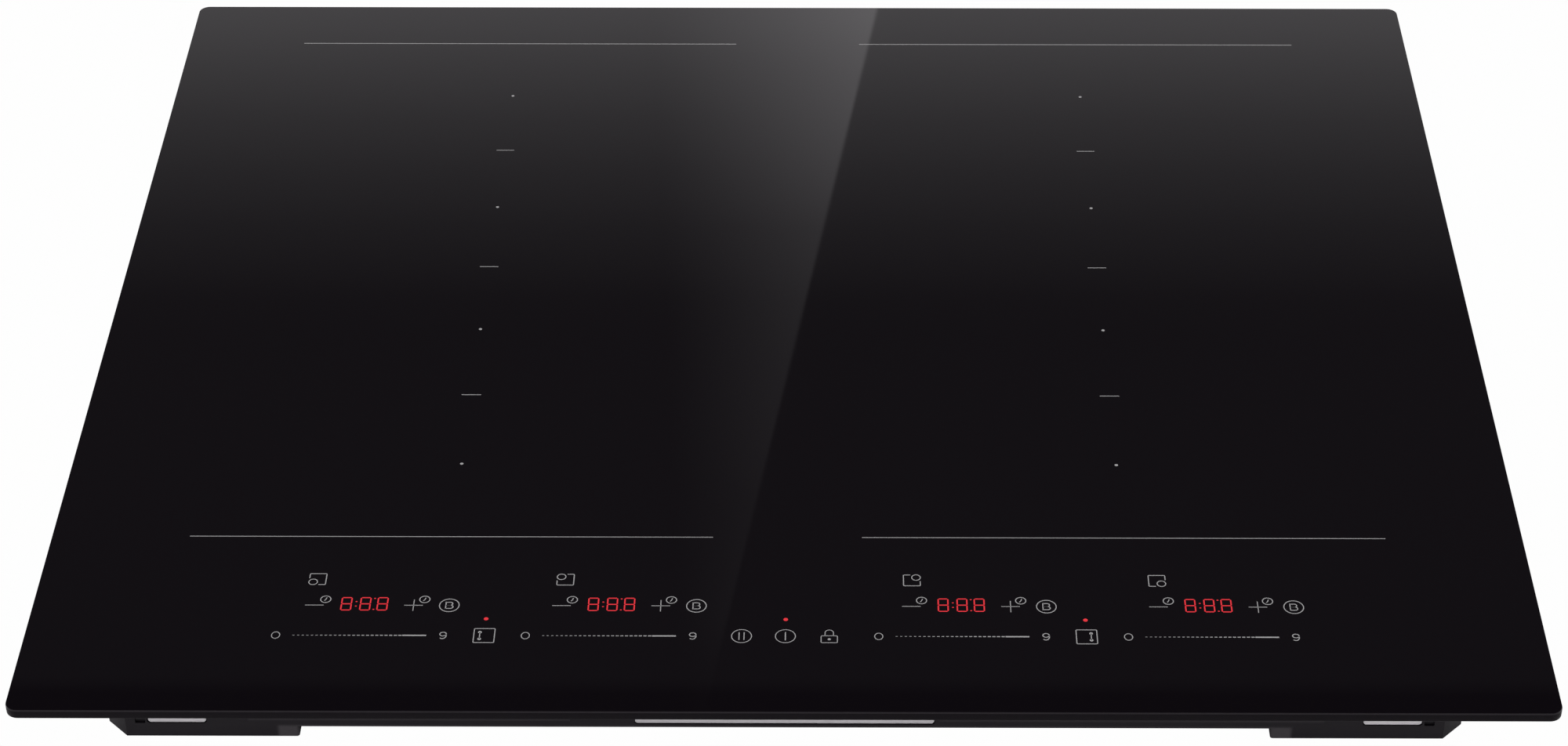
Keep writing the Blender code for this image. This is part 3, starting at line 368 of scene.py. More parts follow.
def painted_highlights(nodes, place):
    """Painted highlight: paler plastic on the housing's front ribs and on the inner end of each corner
    block, standing in for the light they catch.
    """
    x, y, z = nodes.split(place)
    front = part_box("bottom_housing")[0].y
    rib = nodes.math("LESS_THAN", y, front + RIB_DEPTH * MM)
    rib = nodes.math("MULTIPLY", rib, nodes.math("GREATER_THAN", z, RIB_LOW * MM))
    beside = nodes.remap(nodes.math("ABSOLUTE", x), *[edge * MM for edge in HIGHLIGHT_X], 1.0, 0.0, smooth=True)
    below = nodes.remap(z, *[edge * MM for edge in HIGHLIGHT_Z], 1.0, 0.0, smooth=True)
    ahead = nodes.math("LESS_THAN", y, front + HIGHLIGHT_DEPTH * MM)
    end = nodes.math("MULTIPLY", nodes.math("MULTIPLY", beside, below), ahead)
    return nodes.math("MAXIMUM", nodes.math("MULTIPLY", rib, RIB_HIGHLIGHT_SHARE), end)


def rolled(name, colour, roughness, along, depth=0.004, spangle=0.0, mottle=0.15):
    """Sheet or drawn metal, with fine lines along its rolling direction and, on zinc, crystal patches."""
    material, nodes, shader = new_material(name)
    place = nodes.place()
    lengths = tuple(0.02 if axis == along else 1.0 for axis in "xyz")
    lines = nodes.noise(nodes.stretched(place, lengths), 0.25, 3.0, 0.6)
    wide = nodes.noise(nodes.stretched(place, lengths), 2.2, 2.0)
    clouds = nodes.noise(place, 22.0, 4.0, 0.6)
    blotches = nodes.math("MULTIPLY", wide, clouds)
    tone = nodes.blend(blotches, shaded(colour, 1 - mottle), shaded(colour, 1 + mottle))
    gloss = nodes.math("ADD", nodes.around(lines, roughness, 0.07), nodes.around(clouds, 0.005, 0.045))
    if spangle > 0:
        crystals = nodes.cells(place, spangle, output="Color")
        crystal = nodes.split(crystals)[0]
        tone = nodes.blend(nodes.remap(crystal, 0.0, 1.0, 0.0, 0.3), tone, shaded(colour, 1.3))
        gloss = nodes.math("ADD", gloss, nodes.remap(crystal, 0.0, 1.0, -0.05, 0.05))
    dress(nodes, shader, Base_Color=tone, Roughness=gloss, Metallic=1.0, Normal=nodes.bump(lines, depth))
    return material


def worn(name, colour, roughness, metallic=0.0, specular=0.3):
    """Edges rubbed by handling: smoother and a little lighter than the face beside them, in patches."""
    material, nodes, shader = new_material(name)
    place = nodes.place()
    patches = nodes.noise(nodes.stretched(place, (0.4, 0.4, 1.0)), 6.0, 4.0, 0.65)
    rubbed = nodes.remap(patches, 0.42, 0.62, 0.0, 1.0, smooth=True)
    tone = nodes.blend(rubbed, colour, shaded(colour, 1.7))
    gloss = nodes.remap(rubbed, 0.0, 1.0, roughness, roughness * 0.72)
    relief = nodes.bump(nodes.noise(place, 0.6, 3.0), 0.006)
    dress(
        nodes, shader, Base_Color=tone, Roughness=gloss, Metallic=metallic,
        Specular_IOR_Level=specular, Normal=relief,
    )
    return material


def circuit(name, colour, track_pitch):
    """Solder mask over copper tracks: squared runs, round pads and the weave of the board below."""
    material, nodes, shader = new_material(name)
    place = nodes.place()
    squares = nodes.cells(place, track_pitch * 4, output="Color", randomness=0.35)
    choice = nodes.split(squares)
    x, y, _ = nodes.split(place)
    upright = nodes.math("GREATER_THAN", choice[0], 0.5)
    run = nodes.blend(upright, nodes.bands(x, track_pitch), nodes.bands(y, track_pitch))
    tracks = nodes.math("GREATER_THAN", nodes.split(run)[0], 0.55)
    pads = nodes.math("LESS_THAN", nodes.cells(place, track_pitch * 2.2, randomness=0.6), 0.22)
    weave = nodes.math("MULTIPLY", nodes.bands(x, 0.9), nodes.bands(y, 0.9))
    tone = nodes.blend(nodes.math("MULTIPLY", tracks, 0.75), colour, shaded(colour, 1.9))
    tone = nodes.blend(nodes.math("MULTIPLY", weave, 0.12), tone, (0.3, 0.4, 0.2))
    tone = nodes.blend(pads, tone, (0.62, 0.6, 0.55))
    gloss = nodes.remap(pads, 0.0, 1.0, 0.34, 0.2)
    metal = nodes.math("MULTIPLY", pads, 0.9)
    relief = nodes.bump(nodes.math("ADD", tracks, pads), 0.03, nodes.bump(weave, 0.008))
    dress(nodes, shader, Base_Color=tone, Roughness=gloss, Metallic=metal, Normal=relief)
    return material


def wound(name, colour, strand, roughness=0.34):
    """Enamelled copper strands, twisted together, so their lines run slantwise round the bundle."""
    material, nodes, shader = new_material(name)
    place = nodes.place()
    x, y, z = nodes.split(place)
    slant = nodes.math("ADD", nodes.math("ADD", x, y), nodes.math("MULTIPLY", z, 1.6))
    strands = nodes.bands(slant, strand)
    cross = nodes.bands(nodes.math("SUBTRACT", x, y), strand * 1.7)
    patches = nodes.noise(place, 9.0, 3.0)
    tone = nodes.blend(nodes.math("MULTIPLY", strands, cross), shaded(colour, 0.5), shaded(colour, 1.25))
    tone = nodes.blend(nodes.math("MULTIPLY", patches, 0.35), tone, shaded(colour, 0.75))
    gloss = nodes.around(patches, roughness + 0.02, 0.08)
    relief = nodes.bump(nodes.math("MULTIPLY", strands, cross), 0.09)
    dress(nodes, shader, Base_Color=tone, Roughness=gloss, Metallic=0.85, Normal=relief, Coat_Weight=0.35)
    return material


def foam(name):
    """Closed-cell foam tape: open cells at its cut faces, with a soft, dusty tone."""
    material, nodes, shader = new_material(name)
    place = nodes.place()
    cells = nodes.cells(place, 0.45)
    dust = nodes.noise(place, 12.0, 4.0, 0.65)
    tone = nodes.blend(cells, (0.012, 0.012, 0.013), (0.05, 0.05, 0.052))
    tone = nodes.blend(nodes.math("MULTIPLY", dust, 0.25), tone, (0.08, 0.08, 0.08))
    relief = nodes.bump(cells, 0.25, nodes.bump(dust, 0.2))
    dress(nodes, shader, Base_Color=tone, Roughness=0.93, Normal=relief, Sheen_Weight=0.15)
    return material


def ceramic_glass(name):
    """Polished black ceramic glass, dyed through, with a trace of wiping marks in its gloss."""
    material, nodes, shader = new_material(name)
    place = nodes.place()
    wipes = nodes.noise(nodes.stretched(place, (1.0, 0.25, 1.0)), 26.0, 5.0, 0.62)
    specks = nodes.noise(place, 0.8, 2.0)
    tone = nodes.blend(specks, (0.003, 0.0022, 0.0032), (0.0036, 0.0028, 0.0038))
    gloss = nodes.remap(wipes, 0.35, 0.75, 0.01, 0.022)
    dress(nodes, shader, Base_Color=tone, Roughness=gloss, IOR=1.5, Specular_Tint=GLASS_TINT)
    return material


def ground_glass(name, roughness, specular):
    """Ground edge of the glass: fine lines along it, small chips and a satin shine."""
    material, nodes, shader = new_material(name)
    place = nodes.place()
    lines = nodes.noise(nodes.stretched(place, (0.04, 0.04, 1.0)), 0.3, 3.0, 0.6)
    chips = nodes.noise(place, 1.5, 3.0)
    tone = nodes.blend(chips, (0.005, 0.004, 0.005), (0.0075, 0.006, 0.008))
    gloss = nodes.around(lines, roughness, 0.07)
    dress(
        nodes, shader, Base_Color=tone, Roughness=gloss, Specular_IOR_Level=specular,
        Specular_Tint=GLASS_TINT, Normal=nodes.bump(lines, 0.006),
    )
    return material


def ribbon_lead(name):
    """Flat lead of insulated wires side by side, one of them marked red."""
    material, nodes, shader = new_material(name)
    low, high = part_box("control_harness")
    pitch = (high.x - low.x) / RIBBON_WIRES
    across = nodes.math("SUBTRACT", nodes.split(nodes.place())[0], low.x)
    wires = nodes.bands(across, pitch / MM)
    first = nodes.math("LESS_THAN", across, pitch)
    tone = nodes.blend(wires, (0.22, 0.23, 0.24), (0.5, 0.51, 0.52))
    tone = nodes.blend(first, tone, (0.5, 0.03, 0.02))
    gloss = nodes.around(nodes.noise(nodes.place(), 3.0), 0.465, 0.085)
    dress(nodes, shader, Base_Color=tone, Roughness=gloss, Normal=nodes.bump(wires, 0.25))
    return material


def mica(name):
    """Pressed mica sheet: overlapping silvery-brown flakes in a clear binder."""
    material, nodes, shader = new_material(name)
    place = nodes.place()
    flakes = nodes.split(nodes.cells(place, 5.0, output="Color"))[0]
    edges = nodes.cells(place, 5.0, "DISTANCE_TO_EDGE")
    mottle = nodes.noise(place, 1.6, 4.0, 0.65)
    tone = nodes.blend(flakes, (0.42, 0.35, 0.25), (0.72, 0.66, 0.54))
    tone = nodes.blend(nodes.math("MULTIPLY", mottle, 0.4), tone, (0.3, 0.25, 0.18))
    gloss = nodes.remap(flakes, 0.0, 1.0, 0.28, 0.55)
    dress(nodes, shader, Base_Color=tone, Roughness=gloss, Normal=nodes.bump(edges, 0.05))
    return material


def enamel(name):
    """Screen-printed grey enamel: a fine grain from the screen's mesh, and uneven cover."""
    material, nodes, shader = new_material(name)
    place = nodes.place()
    screen = nodes.noise(place, 0.12, 2.0)
    cover = nodes.noise(place, 1.4, 3.0)
    tone = nodes.blend(nodes.math("MULTIPLY", screen, cover), (0.21, 0.206, 0.21), (0.34, 0.334, 0.34))
    gloss = nodes.around(screen, 0.5, 0.1)
    dress(nodes, shader, Base_Color=tone, Roughness=gloss, Normal=nodes.bump(screen, 0.004))
    return material


def lit(name):
    """Red light-emitting segment behind the glass, a little brighter in patches."""
    material, nodes, shader = new_material(name)
    glow = nodes.noise(nodes.place(), 0.9, 2.0)
    tone = nodes.blend(glow, (0.58, 0.024, 0.034), (0.82, 0.042, 0.058))
    dress(
        nodes, shader, Base_Color=(0.05, 0.0, 0.0), Roughness=0.3,
        Emission_Color=tone, Emission_Strength=1.0,
    )
    return material


LOOKS = {
    "ceramic_glass": ceramic_glass,
    "foam": foam,
    # the housing carries a painted highlight on its front ribs and corner blocks
    "housing_plastic": partial(
        moulded, colour=(0.0098, 0.0076, 0.0106), roughness=0.46, grain=0.45, depth=0.014,
        specular=0.21, pale=painted_highlights,
    ),
    "zinc_steel": partial(rolled, colour=(0.55, 0.56, 0.58), roughness=0.38, along="y", spangle=7.0),
    "clamp_steel": partial(rolled, colour=(0.5, 0.51, 0.53), roughness=0.34, along="y", spangle=3.0),
    "aluminium_sheet": partial(
        rolled, colour=(0.93, 0.915, 0.935), roughness=0.6, along="x", depth=0.002, mottle=0.05
    ),
    "carrier_plastic": partial(moulded, colour=(0.02, 0.02, 0.022), roughness=0.5),
    "control_pcb": partial(circuit, colour=(0.008, 0.055, 0.028), track_pitch=1.0),
    "display_body": partial(
        moulded, colour=(0.015, 0.015, 0.016), roughness=0.3, grain=0.9, depth=0.004
    ),
    "ribbon_lead": ribbon_lead,
    "former_plastic": partial(
        moulded, colour=(0.12, 0.11, 0.1), roughness=0.58, grain=0.7, depth=0.02
    ),
    "litz_copper": partial(wound, colour=(0.62, 0.23, 0.08), strand=1.3),
    "mica": mica,
    "sensor_cap": partial(moulded, colour=(0.75, 0.74, 0.7), roughness=0.6, grain=0.4, depth=0.01),
    "spring_steel": partial(rolled, colour=(0.6, 0.6, 0.62), roughness=0.3, along="x"),
    "power_pcb": partial(circuit, colour=(0.016, 0.1, 0.042), track_pitch=1.6),
    "heat_sink_aluminium": partial(
        rolled, colour=(0.72, 0.73, 0.74), roughness=0.4, along="y", depth=0.01
    ),
    "film_capacitor": partial(
        moulded, colour=(0.75, 0.53, 0.07), roughness=0.42, grain=1.2, depth=0.01
    ),
    "film_capacitor_grey": partial(
        moulded, colour=(0.3, 0.31, 0.33), roughness=0.42, grain=1.2, depth=0.01
    ),
    "choke_copper": partial(wound, colour=(0.55, 0.21, 0.07), strand=2.2, roughness=0.28),
    "blower_plastic": partial(moulded, colour=(0.02, 0.02, 0.02), roughness=0.48),
    "impeller_plastic": partial(moulded, colour=(0.05, 0.05, 0.052), roughness=0.42),
    "terminal_plastic": partial(
        moulded, colour=(0.8, 0.79, 0.74), roughness=0.48, grain=0.6, depth=0.01
    ),
    "cord_clamp_plastic": partial(moulded, colour=(0.04, 0.04, 0.042), roughness=0.5),
    "cover_plastic": partial(
        moulded, colour=(0.014, 0.013, 0.0145), roughness=0.44, grain=0.45, depth=0.014,
        specular=0.35,
    ),
    "print_grey": enamel,
    "display_light": lit,
}
EDGES = {  # width of the rounded edges, and the colour, roughness and metallic value of their wear
    "housing_plastic": (0.35, ((0.0112, 0.0092, 0.0118), 0.42, 0.0)),
    "cover_plastic": (0.3, ((0.017, 0.016, 0.018), 0.38, 0.0)),
    "clamp_steel": (0.18, ((0.55, 0.56, 0.58), 0.28, 1.0)),
    "aluminium_sheet": (0.12, ((0.84, 0.84, 0.85), 0.3, 1.0)),
}
MATERIALS = {}


def material_for(slot):
    """The finish of a slot, made when it is first asked for."""
    if slot not in MATERIALS:
        MATERIALS[slot] = LOOKS[slot](slot)
    return MATERIALS[slot]


def smoothing_group(angle):
    """Geometry nodes that shade faces smooth, apart from edges sharper than angle degrees."""
    group = bpy.data.node_groups.new("smooth_by_angle", "GeometryNodeTree")
    group.interface.new_socket("Geometry", in_out="INPUT", socket_type="NodeSocketGeometry")
    group.interface.new_socket("Geometry", in_out="OUTPUT", socket_type="NodeSocketGeometry")
    nodes = Nodes(group)
    start = nodes.add("NodeGroupInput")
    bend = nodes.add("GeometryNodeInputMeshEdgeAngle").outputs["Unsigned Angle"]
    sharp = nodes.add("FunctionNodeCompare", {"operation": "GREATER_THAN"})
    nodes.feed(sharp.inputs[0], bend)
    nodes.feed(sharp.inputs[1], math.radians(angle))
    faces = nodes.add("GeometryNodeSetShadeSmooth", {"domain": "FACE"}, Geometry=start.outputs[0])
    edges = nodes.add("GeometryNodeSetShadeSmooth", {"domain": "EDGE"}, Geometry=faces.outputs[0])
    nodes.feed(edges.inputs["Selection"], sharp.outputs[0])
    nodes.feed(edges.inputs["Shade Smooth"], False)
    end = nodes.add("NodeGroupOutput")
    nodes.feed(end.inputs[0], edges.outputs[0])
    return group


def finish_cad_nodes():
    """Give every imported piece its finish, round the edges of the outer ones, and shade curves smooth."""
    smoothing = smoothing_group(SMOOTH_ANGLE)
    worn_edges = {slot: worn(f"{slot}_edge", *finish) for slot, (_, finish) in EDGES.items()}
    for entry in frame["record"]["subparts"]:
        thing = frame["nodes"][entry["node"]]
        slot = entry["material_slot"]
        thing.data.materials.clear()
        thing.data.materials.append(material_for(slot))
        weld = thing.modifiers.new("weld", "WELD")
        weld.merge_threshold = WELD * MM
        if slot in EDGES:
            thing.data.materials.append(worn_edges[slot])
            edge = thing.modifiers.new("edges", "BEVEL")
            edge.width = EDGES[slot][0] * MM
            edge.segments = EDGE_STEPS
            edge.limit_method = "ANGLE"
            edge.angle_limit = math.radians(EDGE_ANGLE)
            edge.use_clamp_overlap = True
            edge.material = 1
        shade = thing.modifiers.new("smooth", "NODES")
        shade.node_group = smoothing


def new_piece(name, mesh, slot, *extra):
    """Turn a bmesh in millimetres into a piece of the hob that takes its finish from a slot."""
    bmesh.ops.scale(mesh, vec=(MM, MM, MM), verts=mesh.verts)
    bmesh.ops.recalc_face_normals(mesh, faces=mesh.faces)
    data = bpy.data.meshes.new(name)
    mesh.to_mesh(data)
    mesh.free()
    piece = bpy.data.objects.new(name, data)
    bpy.context.scene.collection.objects.link(piece)
    data.materials.append(material_for(slot))
    for material in extra:
        data.materials.append(material)
    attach(piece, BODY)
    return piece


def middle_of(node):
    """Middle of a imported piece, in millimetres."""
    low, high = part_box(node)
    return (low + high) / 2 / MM


def arc(middle, radii, start, end):
    """Points of an elliptic arc, from one angle to another in degrees."""
    steps = max(2, round(abs(end - start) / ARC_STEP))
    points = []
    for step in range(steps + 1):
        angle = math.radians(start + (end - start) * step / steps)
        points.append((middle[0] + radii[0] * math.cos(angle), middle[1] + radii[1] * math.sin(angle)))
    return points


def softened(path, radius):
    """Path with each of its inner corners rounded off."""
    points = [path[0]]
    for before, corner, after in zip(path, path[1:], path[2:]):
        ends = []
        for other in (before, after):
            dx, dy = other[0] - corner[0], other[1] - corner[1]
            share = radius / math.hypot(dx, dy)
            ends.append((corner[0] + dx * share, corner[1] + dy * share))
        (x0, y0), (x1, y1) = ends
        points += [ends[0], ((x0 + x1 + 2 * corner[0]) / 4, (y0 + y1 + 2 * corner[1]) / 4), ends[1]]
    return points + [path[-1]]


def ellipse(middle, radii):
    return arc(middle, radii, 0.0, 360.0)[:-1]


def circle(middle, radius):
    return ellipse(middle, (radius, radius))


def ribbon(mesh, path, width, low, high, closed=False):
    """Closed solid along a path of (x, y) points: a stroke of even width with mitred corners."""
    count = len(path)
    stations = []
    for index, (x, y) in enumerate(path):
        before = path[index - 1] if closed or index > 0 else None
        after = path[(index + 1) % count] if closed or index < count - 1 else None
        steps = []
        if before is not None:
            steps.append((x - before[0], y - before[1]))
        if after is not None:
            steps.append((after[0] - x, after[1] - y))
        normals = [(-dy / math.hypot(dx, dy), dx / math.hypot(dx, dy)) for dx, dy in steps]
        out_x = sum(normal[0] for normal in normals)
        out_y = sum(normal[1] for normal in normals)
        size = math.hypot(out_x, out_y)
        out_x, out_y = out_x / size, out_y / size
        reach = width / 2 / max(MITRE_LIMIT, out_x * normals[0][0] + out_y * normals[0][1])
        corners = [(-reach, low), (reach, low), (reach, high), (-reach, high)]
        stations.append([mesh.verts.new((x + out_x * off, y + out_y * off, z)) for off, z in corners])
    following = stations[1:] + stations[:1] if closed else stations[1:]
    for here, there in zip(stations, following):
        for corner in range(4):
            other = (corner + 1) % 4
            mesh.faces.new((here[corner], here[other], there[other], there[corner]))
    if not closed:
        mesh.faces.new(stations[0])
        mesh.faces.new(stations[-1])


def plate(mesh, outline, low, high):
    """Closed solid under a filled outline."""
    rings = [[mesh.verts.new((x, y, z)) for x, y in outline] for z in (low, high)]
    for index in range(len(outline)):
        after = (index + 1) % len(outline)
        mesh.faces.new((rings[0][index], rings[0][after], rings[1][after], rings[1][index]))
    mesh.faces.new(rings[0])
    mesh.faces.new(rings[1])


class Sheet:
    """Marks that are printed or lit together on the glass, as one piece."""

    def __init__(self, rise):
        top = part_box("glass_top")[1].z / MM
        self.levels = (top - PRINT_SINK, top + rise)
        self.mesh = bmesh.new()

    def line(self, path, width=ICON_LINE, closed=False):
        ribbon(self.mesh, path, width, *self.levels, closed)

    def bar(self, middle, half_length, width, upright=False):
        x, y = middle
        if upright:
            self.line([(x, y - half_length), (x, y + half_length)], width)
        else:
            self.line([(x - half_length, y), (x + half_length, y)], width)

    def ring(self, middle, radius, width):
        self.line(circle(middle, radius), width, closed=True)

    def dot(self, middle, radius):
        plate(self.mesh, circle(middle, radius), *self.levels)

    def done(self, name, slot):
        return new_piece(name, self.mesh, slot)


def rounded_rectangle(middle, half, radius):
    """Outline with round corners, anticlockwise from its right-hand side."""
    x, y = middle
    points = []
    for index, (right, up) in enumerate(((1, 1), (-1, 1), (-1, -1), (1, -1))):
        centre = (x + right * (half[0] - radius), y + up * (half[1] - radius))
        points += arc(centre, (radius, radius), 90.0 * index, 90.0 * (index + 1))
    return points


def make_glass():
    """Glass plate as packed, with a fine ground arris along its upper and lower edges."""
    low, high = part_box("glass_top")
    half_x = (high.x - low.x) / 2 / MM
    half_y = (high.y - low.y) / 2 / MM
    under, top = low.z / MM, high.z / MM
    section = [(inset, under + up) for inset, up in UNDER_ARRIS]
    section += [(inset, top - down) for inset, down in TOP_ARRIS]
    mesh = bmesh.new()
    rings = []
    for inset, height in section:
        ring = []
        for index, (right, back) in enumerate(((1, 1), (-1, 1), (-1, -1), (1, -1))):
            middle = (right * (half_x - GLASS_CORNER), back * (half_y - GLASS_CORNER))
            for step in range(CORNER_STEPS + 1):
                angle = math.pi / 2 * (index + step / CORNER_STEPS)
                x = middle[0] + (GLASS_CORNER - inset) * math.cos(angle)
                y = middle[1] + (GLASS_CORNER - inset) * math.sin(angle)
                ring.append(mesh.verts.new((x, y, height)))
        rings.append(ring)
    for lower, upper in zip(rings, rings[1:]):
        for here in range(len(lower)):
            after = (here + 1) % len(lower)
            face = mesh.faces.new((lower[here], lower[after], upper[after], upper[here]))
            on_side = lower is rings[len(UNDER_ARRIS) - 1]
            face.material_index = 1 if on_side else 2
            face.smooth = True
    mesh.faces.new(rings[0][::-1])
    mesh.faces.new(rings[-1])
    side = ground_glass("glass_side", *SIDE_FINISH)
    arris = ground_glass("glass_arris", *ARRIS_FINISH)
    glass = new_piece("glass_plate", mesh, "ceramic_glass", side, arris)
    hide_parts("glass_top")


def print_zones():
    """End lines of the two flexible zones, with a column of dots and dashes through the coils' middles."""
    for word, side in (("left", -1), ("right", 1)):
        front_y = middle_of(f"coil_former_front_{word}").y
        rear_y = middle_of(f"coil_former_rear_{word}").y
        pitch = (rear_y - front_y) / MARKS_PER_COIL_PITCH
        sheet = Sheet(PRINT_RISE)
        for y, width in zip((front_y - ZONE_LINE_PAST, rear_y + ZONE_LINE_PAST), ZONE_LINES):
            sheet.line([(PRINT_MIDDLE + side * x, y) for x in ZONE_LINE_X], width)
        marks_x = PRINT_MIDDLE + side * MARKS_X
        for index in range(MARK_COUNT):
            y = rear_y + pitch * (1 - index)
            if index % 2 == 0:
                sheet.dot((marks_x, y), DOT_RADIUS)
            else:
                sheet.bar((marks_x, y), DASH_HALF, MARK_LINE)
        sheet.done(f"print_zone_{word}", "print_grey")


def print_nine(sheet, x, y):
    loop_rise, loop_half = 0.8, (1.25, 1.1)
    tail_left, tail_half, tail_turn = 0.12, (1.4, 1.9), (20.0, -132.0)
    sheet.line(ellipse((x, y + loop_rise), loop_half), closed=True)
    sheet.line(arc((x - tail_left, y), tail_half, *tail_turn))


def print_boost(sheet, x, y):
    """Circled B, the usual mark of a boost key."""
    sheet.ring((x, y), BOOST_RADIUS, FINE_LINE)
    stem, stem_half = x - 1.35, 2.12
    bowls = (((0.35, 0.95), (0.9, 0.9)), ((0.5, -0.92), (1.0, 0.95)))  # middle and half sizes
    for (right, up), half in bowls:
        bowl = arc((x + right, y + up), half, 90.0, -90.0)
        sheet.line([(stem, y + up + half[1])] + bowl + [(stem, y + up - half[1])])
    sheet.bar((stem, y), stem_half, ICON_LINE, upright=True)


def print_clock(sheet, x, y):
    hands = ((-0.5, -0.85), (0.05, -0.1), (0.4, 1.05))
    sheet.ring((x, y), CLOCK_RADIUS, FINE_LINE)
    sheet.line([(x + right, y + up) for right, up in hands], FINE_LINE)


def print_zone_icon(sheet, x, y, right, up):
    """Square that stands for the hob, open at the corner where a circle marks the zone."""
    half_x, half_y = ZONE_ICON_HALF
    middle = (x + right * (half_x - ZONE_ICON_INSET), y + up * (half_y - ZONE_ICON_INSET))
    reach = ZONE_ICON_RADIUS + ZONE_ICON_GAP
    path = [
        (middle[0] - right * reach, y + up * half_y),
        (x - right * half_x, y + up * half_y),
        (x - right * half_x, y - up * half_y),
        (x + right * half_x, y - up * half_y),
        (x + right * half_x, middle[1] - up * reach),
    ]
    sheet.line(softened(path, ICON_CORNER), FINE_LINE)
    sheet.ring(middle, ZONE_ICON_RADIUS, FINE_LINE)


def print_slider(sheet, x, y):
    """Touch slider from 0 to 9: dashes that grow towards a full bar."""
    sheet.line(ellipse((x + ZERO_X, y), ZERO_HALF), THIN_LINE, closed=True)
    print_nine(sheet, x + NINE_X, y)
    first, last = DASHES_X
    pitch = (last - first) / DASH_COUNT
    for index in range(DASH_COUNT):
        part = index / (DASH_COUNT - 1)
        length = pitch * (DASH_FILL[0] + (DASH_FILL[1] - DASH_FILL[0]) * part)
        width = DASH_LINE[0] + (DASH_LINE[1] - DASH_LINE[0]) * part
        sheet.bar((x + first + pitch * (index + 0.5), y), length / 2, width)
    sheet.line([(x + last, y), (x + FULL_BAR_END, y)], FULL_BAR_LINE)


def light_digits(sheet, x, y):
    """Three seven-segment eights with a colon and two points between them."""
    half_x, half_y = DIGIT_HALF
    cut = SEGMENT / 2
    for offset in DIGIT_X:
        middle = x + offset
        for level in (-half_y, 0.0, half_y):
            reach = half_x - SEGMENT_GAP
            outline = [
                (middle - reach, y + level),
                (middle - reach + cut, y + level - cut),
                (middle + reach - cut, y + level - cut),
                (middle + reach, y + level),
                (middle + reach - cut, y + level + cut),
                (middle - reach + cut, y + level + cut),
            ]
            plate(sheet.mesh, outline, *sheet.levels)
        for column in (-half_x, half_x):
            for end in (-1, 1):
                near, far = y + end * SEGMENT_GAP, y + end * (half_y - SEGMENT_GAP)
                outline = [
                    (middle + column, near),
                    (middle + column + cut, near + end * cut),
                    (middle + column + cut, far - end * cut),
                    (middle + column, far),
                    (middle + column - cut, far - end * cut),
                    (middle + column - cut, near + end * cut),
                ]
                plate(sheet.mesh, outline[::end], *sheet.levels)
    for end in (-1, 1):
        sheet.bar((x + COLON_X, y + end * COLON_Y), POINT_HALF, POINT_LINE)
        sheet.bar((x + POINT_X, y + end * POINT_Y), POINT_HALF, POINT_LINE)


def print_controls():
    """Slider, keys, zone icon and lit digits of each zone, round its display module."""
    groups = (  # display, side and end of the hob that its zone is at, and the icon's place in x
        ("left_outer", -1, -1, -20.06),
        ("left_inner", -1, 1, -18.95),
        ("right_inner", 1, 1, -19.15),
        ("right_outer", 1, -1, -19.15),
    )
    for word, right, up, icon_x in groups:
        x, middle_y, _ = middle_of(f"display_{word}")
        y = middle_y - KEYS_DROP
        sheet = Sheet(PRINT_RISE)
        print_slider(sheet, x, middle_y - SLIDER_DROP)
        sheet.bar((x + MINUS_X, y), KEY_HALF[0], THIN_LINE)
        sheet.bar((x + PLUS_X, y), KEY_HALF[0], THIN_LINE)
        sheet.bar((x + PLUS_X, y), KEY_HALF[1], THIN_LINE, upright=True)
        for key in (MINUS_X, PLUS_X):
            print_clock(sheet, x + key + CLOCK_OFFSET[0], y + CLOCK_OFFSET[1])
        print_boost(sheet, x + BOOST_X, y)
        print_zone_icon(sheet, x + icon_x, y + ZONE_ICON_RISE, right, up)
        sheet.done(f"print_controls_{word}", "print_grey")
        lamps = Sheet(LIT_RISE)
        light_digits(lamps, x, middle_y + DIGITS_RISE)
        lamps.done(f"lit_digits_{word}", "display_light")


def print_lock(sheet, x, y):
    body_drop, body_half, body_corner = 1.75, (3.16, 2.05), 0.5
    shackle_rise, shackle_half = 2.1, (1.62, 1.65)
    keyhole = 0.62
    body = (x, y - body_drop)
    sheet.line(rounded_rectangle(body, body_half, body_corner), THIN_LINE, closed=True)
    shoulder = body[1] + body_half[1]
    bow = arc((x, y + shackle_rise), shackle_half, 0.0, 180.0)
    sheet.line([(x + shackle_half[0], shoulder)] + bow + [(x - shackle_half[0], shoulder)], THIN_LINE)
    sheet.dot(body, keyhole)


def print_bridge(sheet, x, y, side):
    """Bridge key: a zone's outline with two joined dots on its outer side."""
    sheet.line(rounded_rectangle((x, y), BRIDGE_HALF, ICON_CORNER), FINE_LINE, closed=True)
    stem = x + side * BRIDGE_STEM
    sheet.bar((stem, y), BRIDGE_DOT_Y, FINE_LINE, upright=True)
    for end in (-1, 1):
        sheet.dot((stem, y + end * BRIDGE_DOT_Y), BRIDGE_DOT)


def print_keys():
    """Pause, power, lock and the two bridge keys, with the lamps above power and bridge."""
    y = middle_of("display_left_outer").y - SLIDER_DROP
    sheet = Sheet(PRINT_RISE)
    for offset, (bars, half, width) in ((PAUSE_X, PAUSE_BARS), (0.0, POWER_BAR)):
        middle = PRINT_MIDDLE + offset
        sheet.ring((middle, y), KEY_RADIUS, THIN_LINE)
        for bar in bars:
            sheet.bar((middle + bar, y), half, width, upright=True)
    print_lock(sheet, PRINT_MIDDLE + LOCK_X, y)
    for side in (-1, 1):
        print_bridge(sheet, PRINT_MIDDLE + side * BRIDGE_X, y, side)
    sheet.done("print_keys", "print_grey")
    for name, offset in (("power", 0.0), ("bridge_left", -BRIDGE_X), ("bridge_right", BRIDGE_X)):
        lamp = Sheet(LIT_RISE)
        lamp.dot((PRINT_MIDDLE + offset, y + LAMP_RISE), LAMP_RADIUS)
        lamp.done(f"lit_lamp_{name}", "display_light")


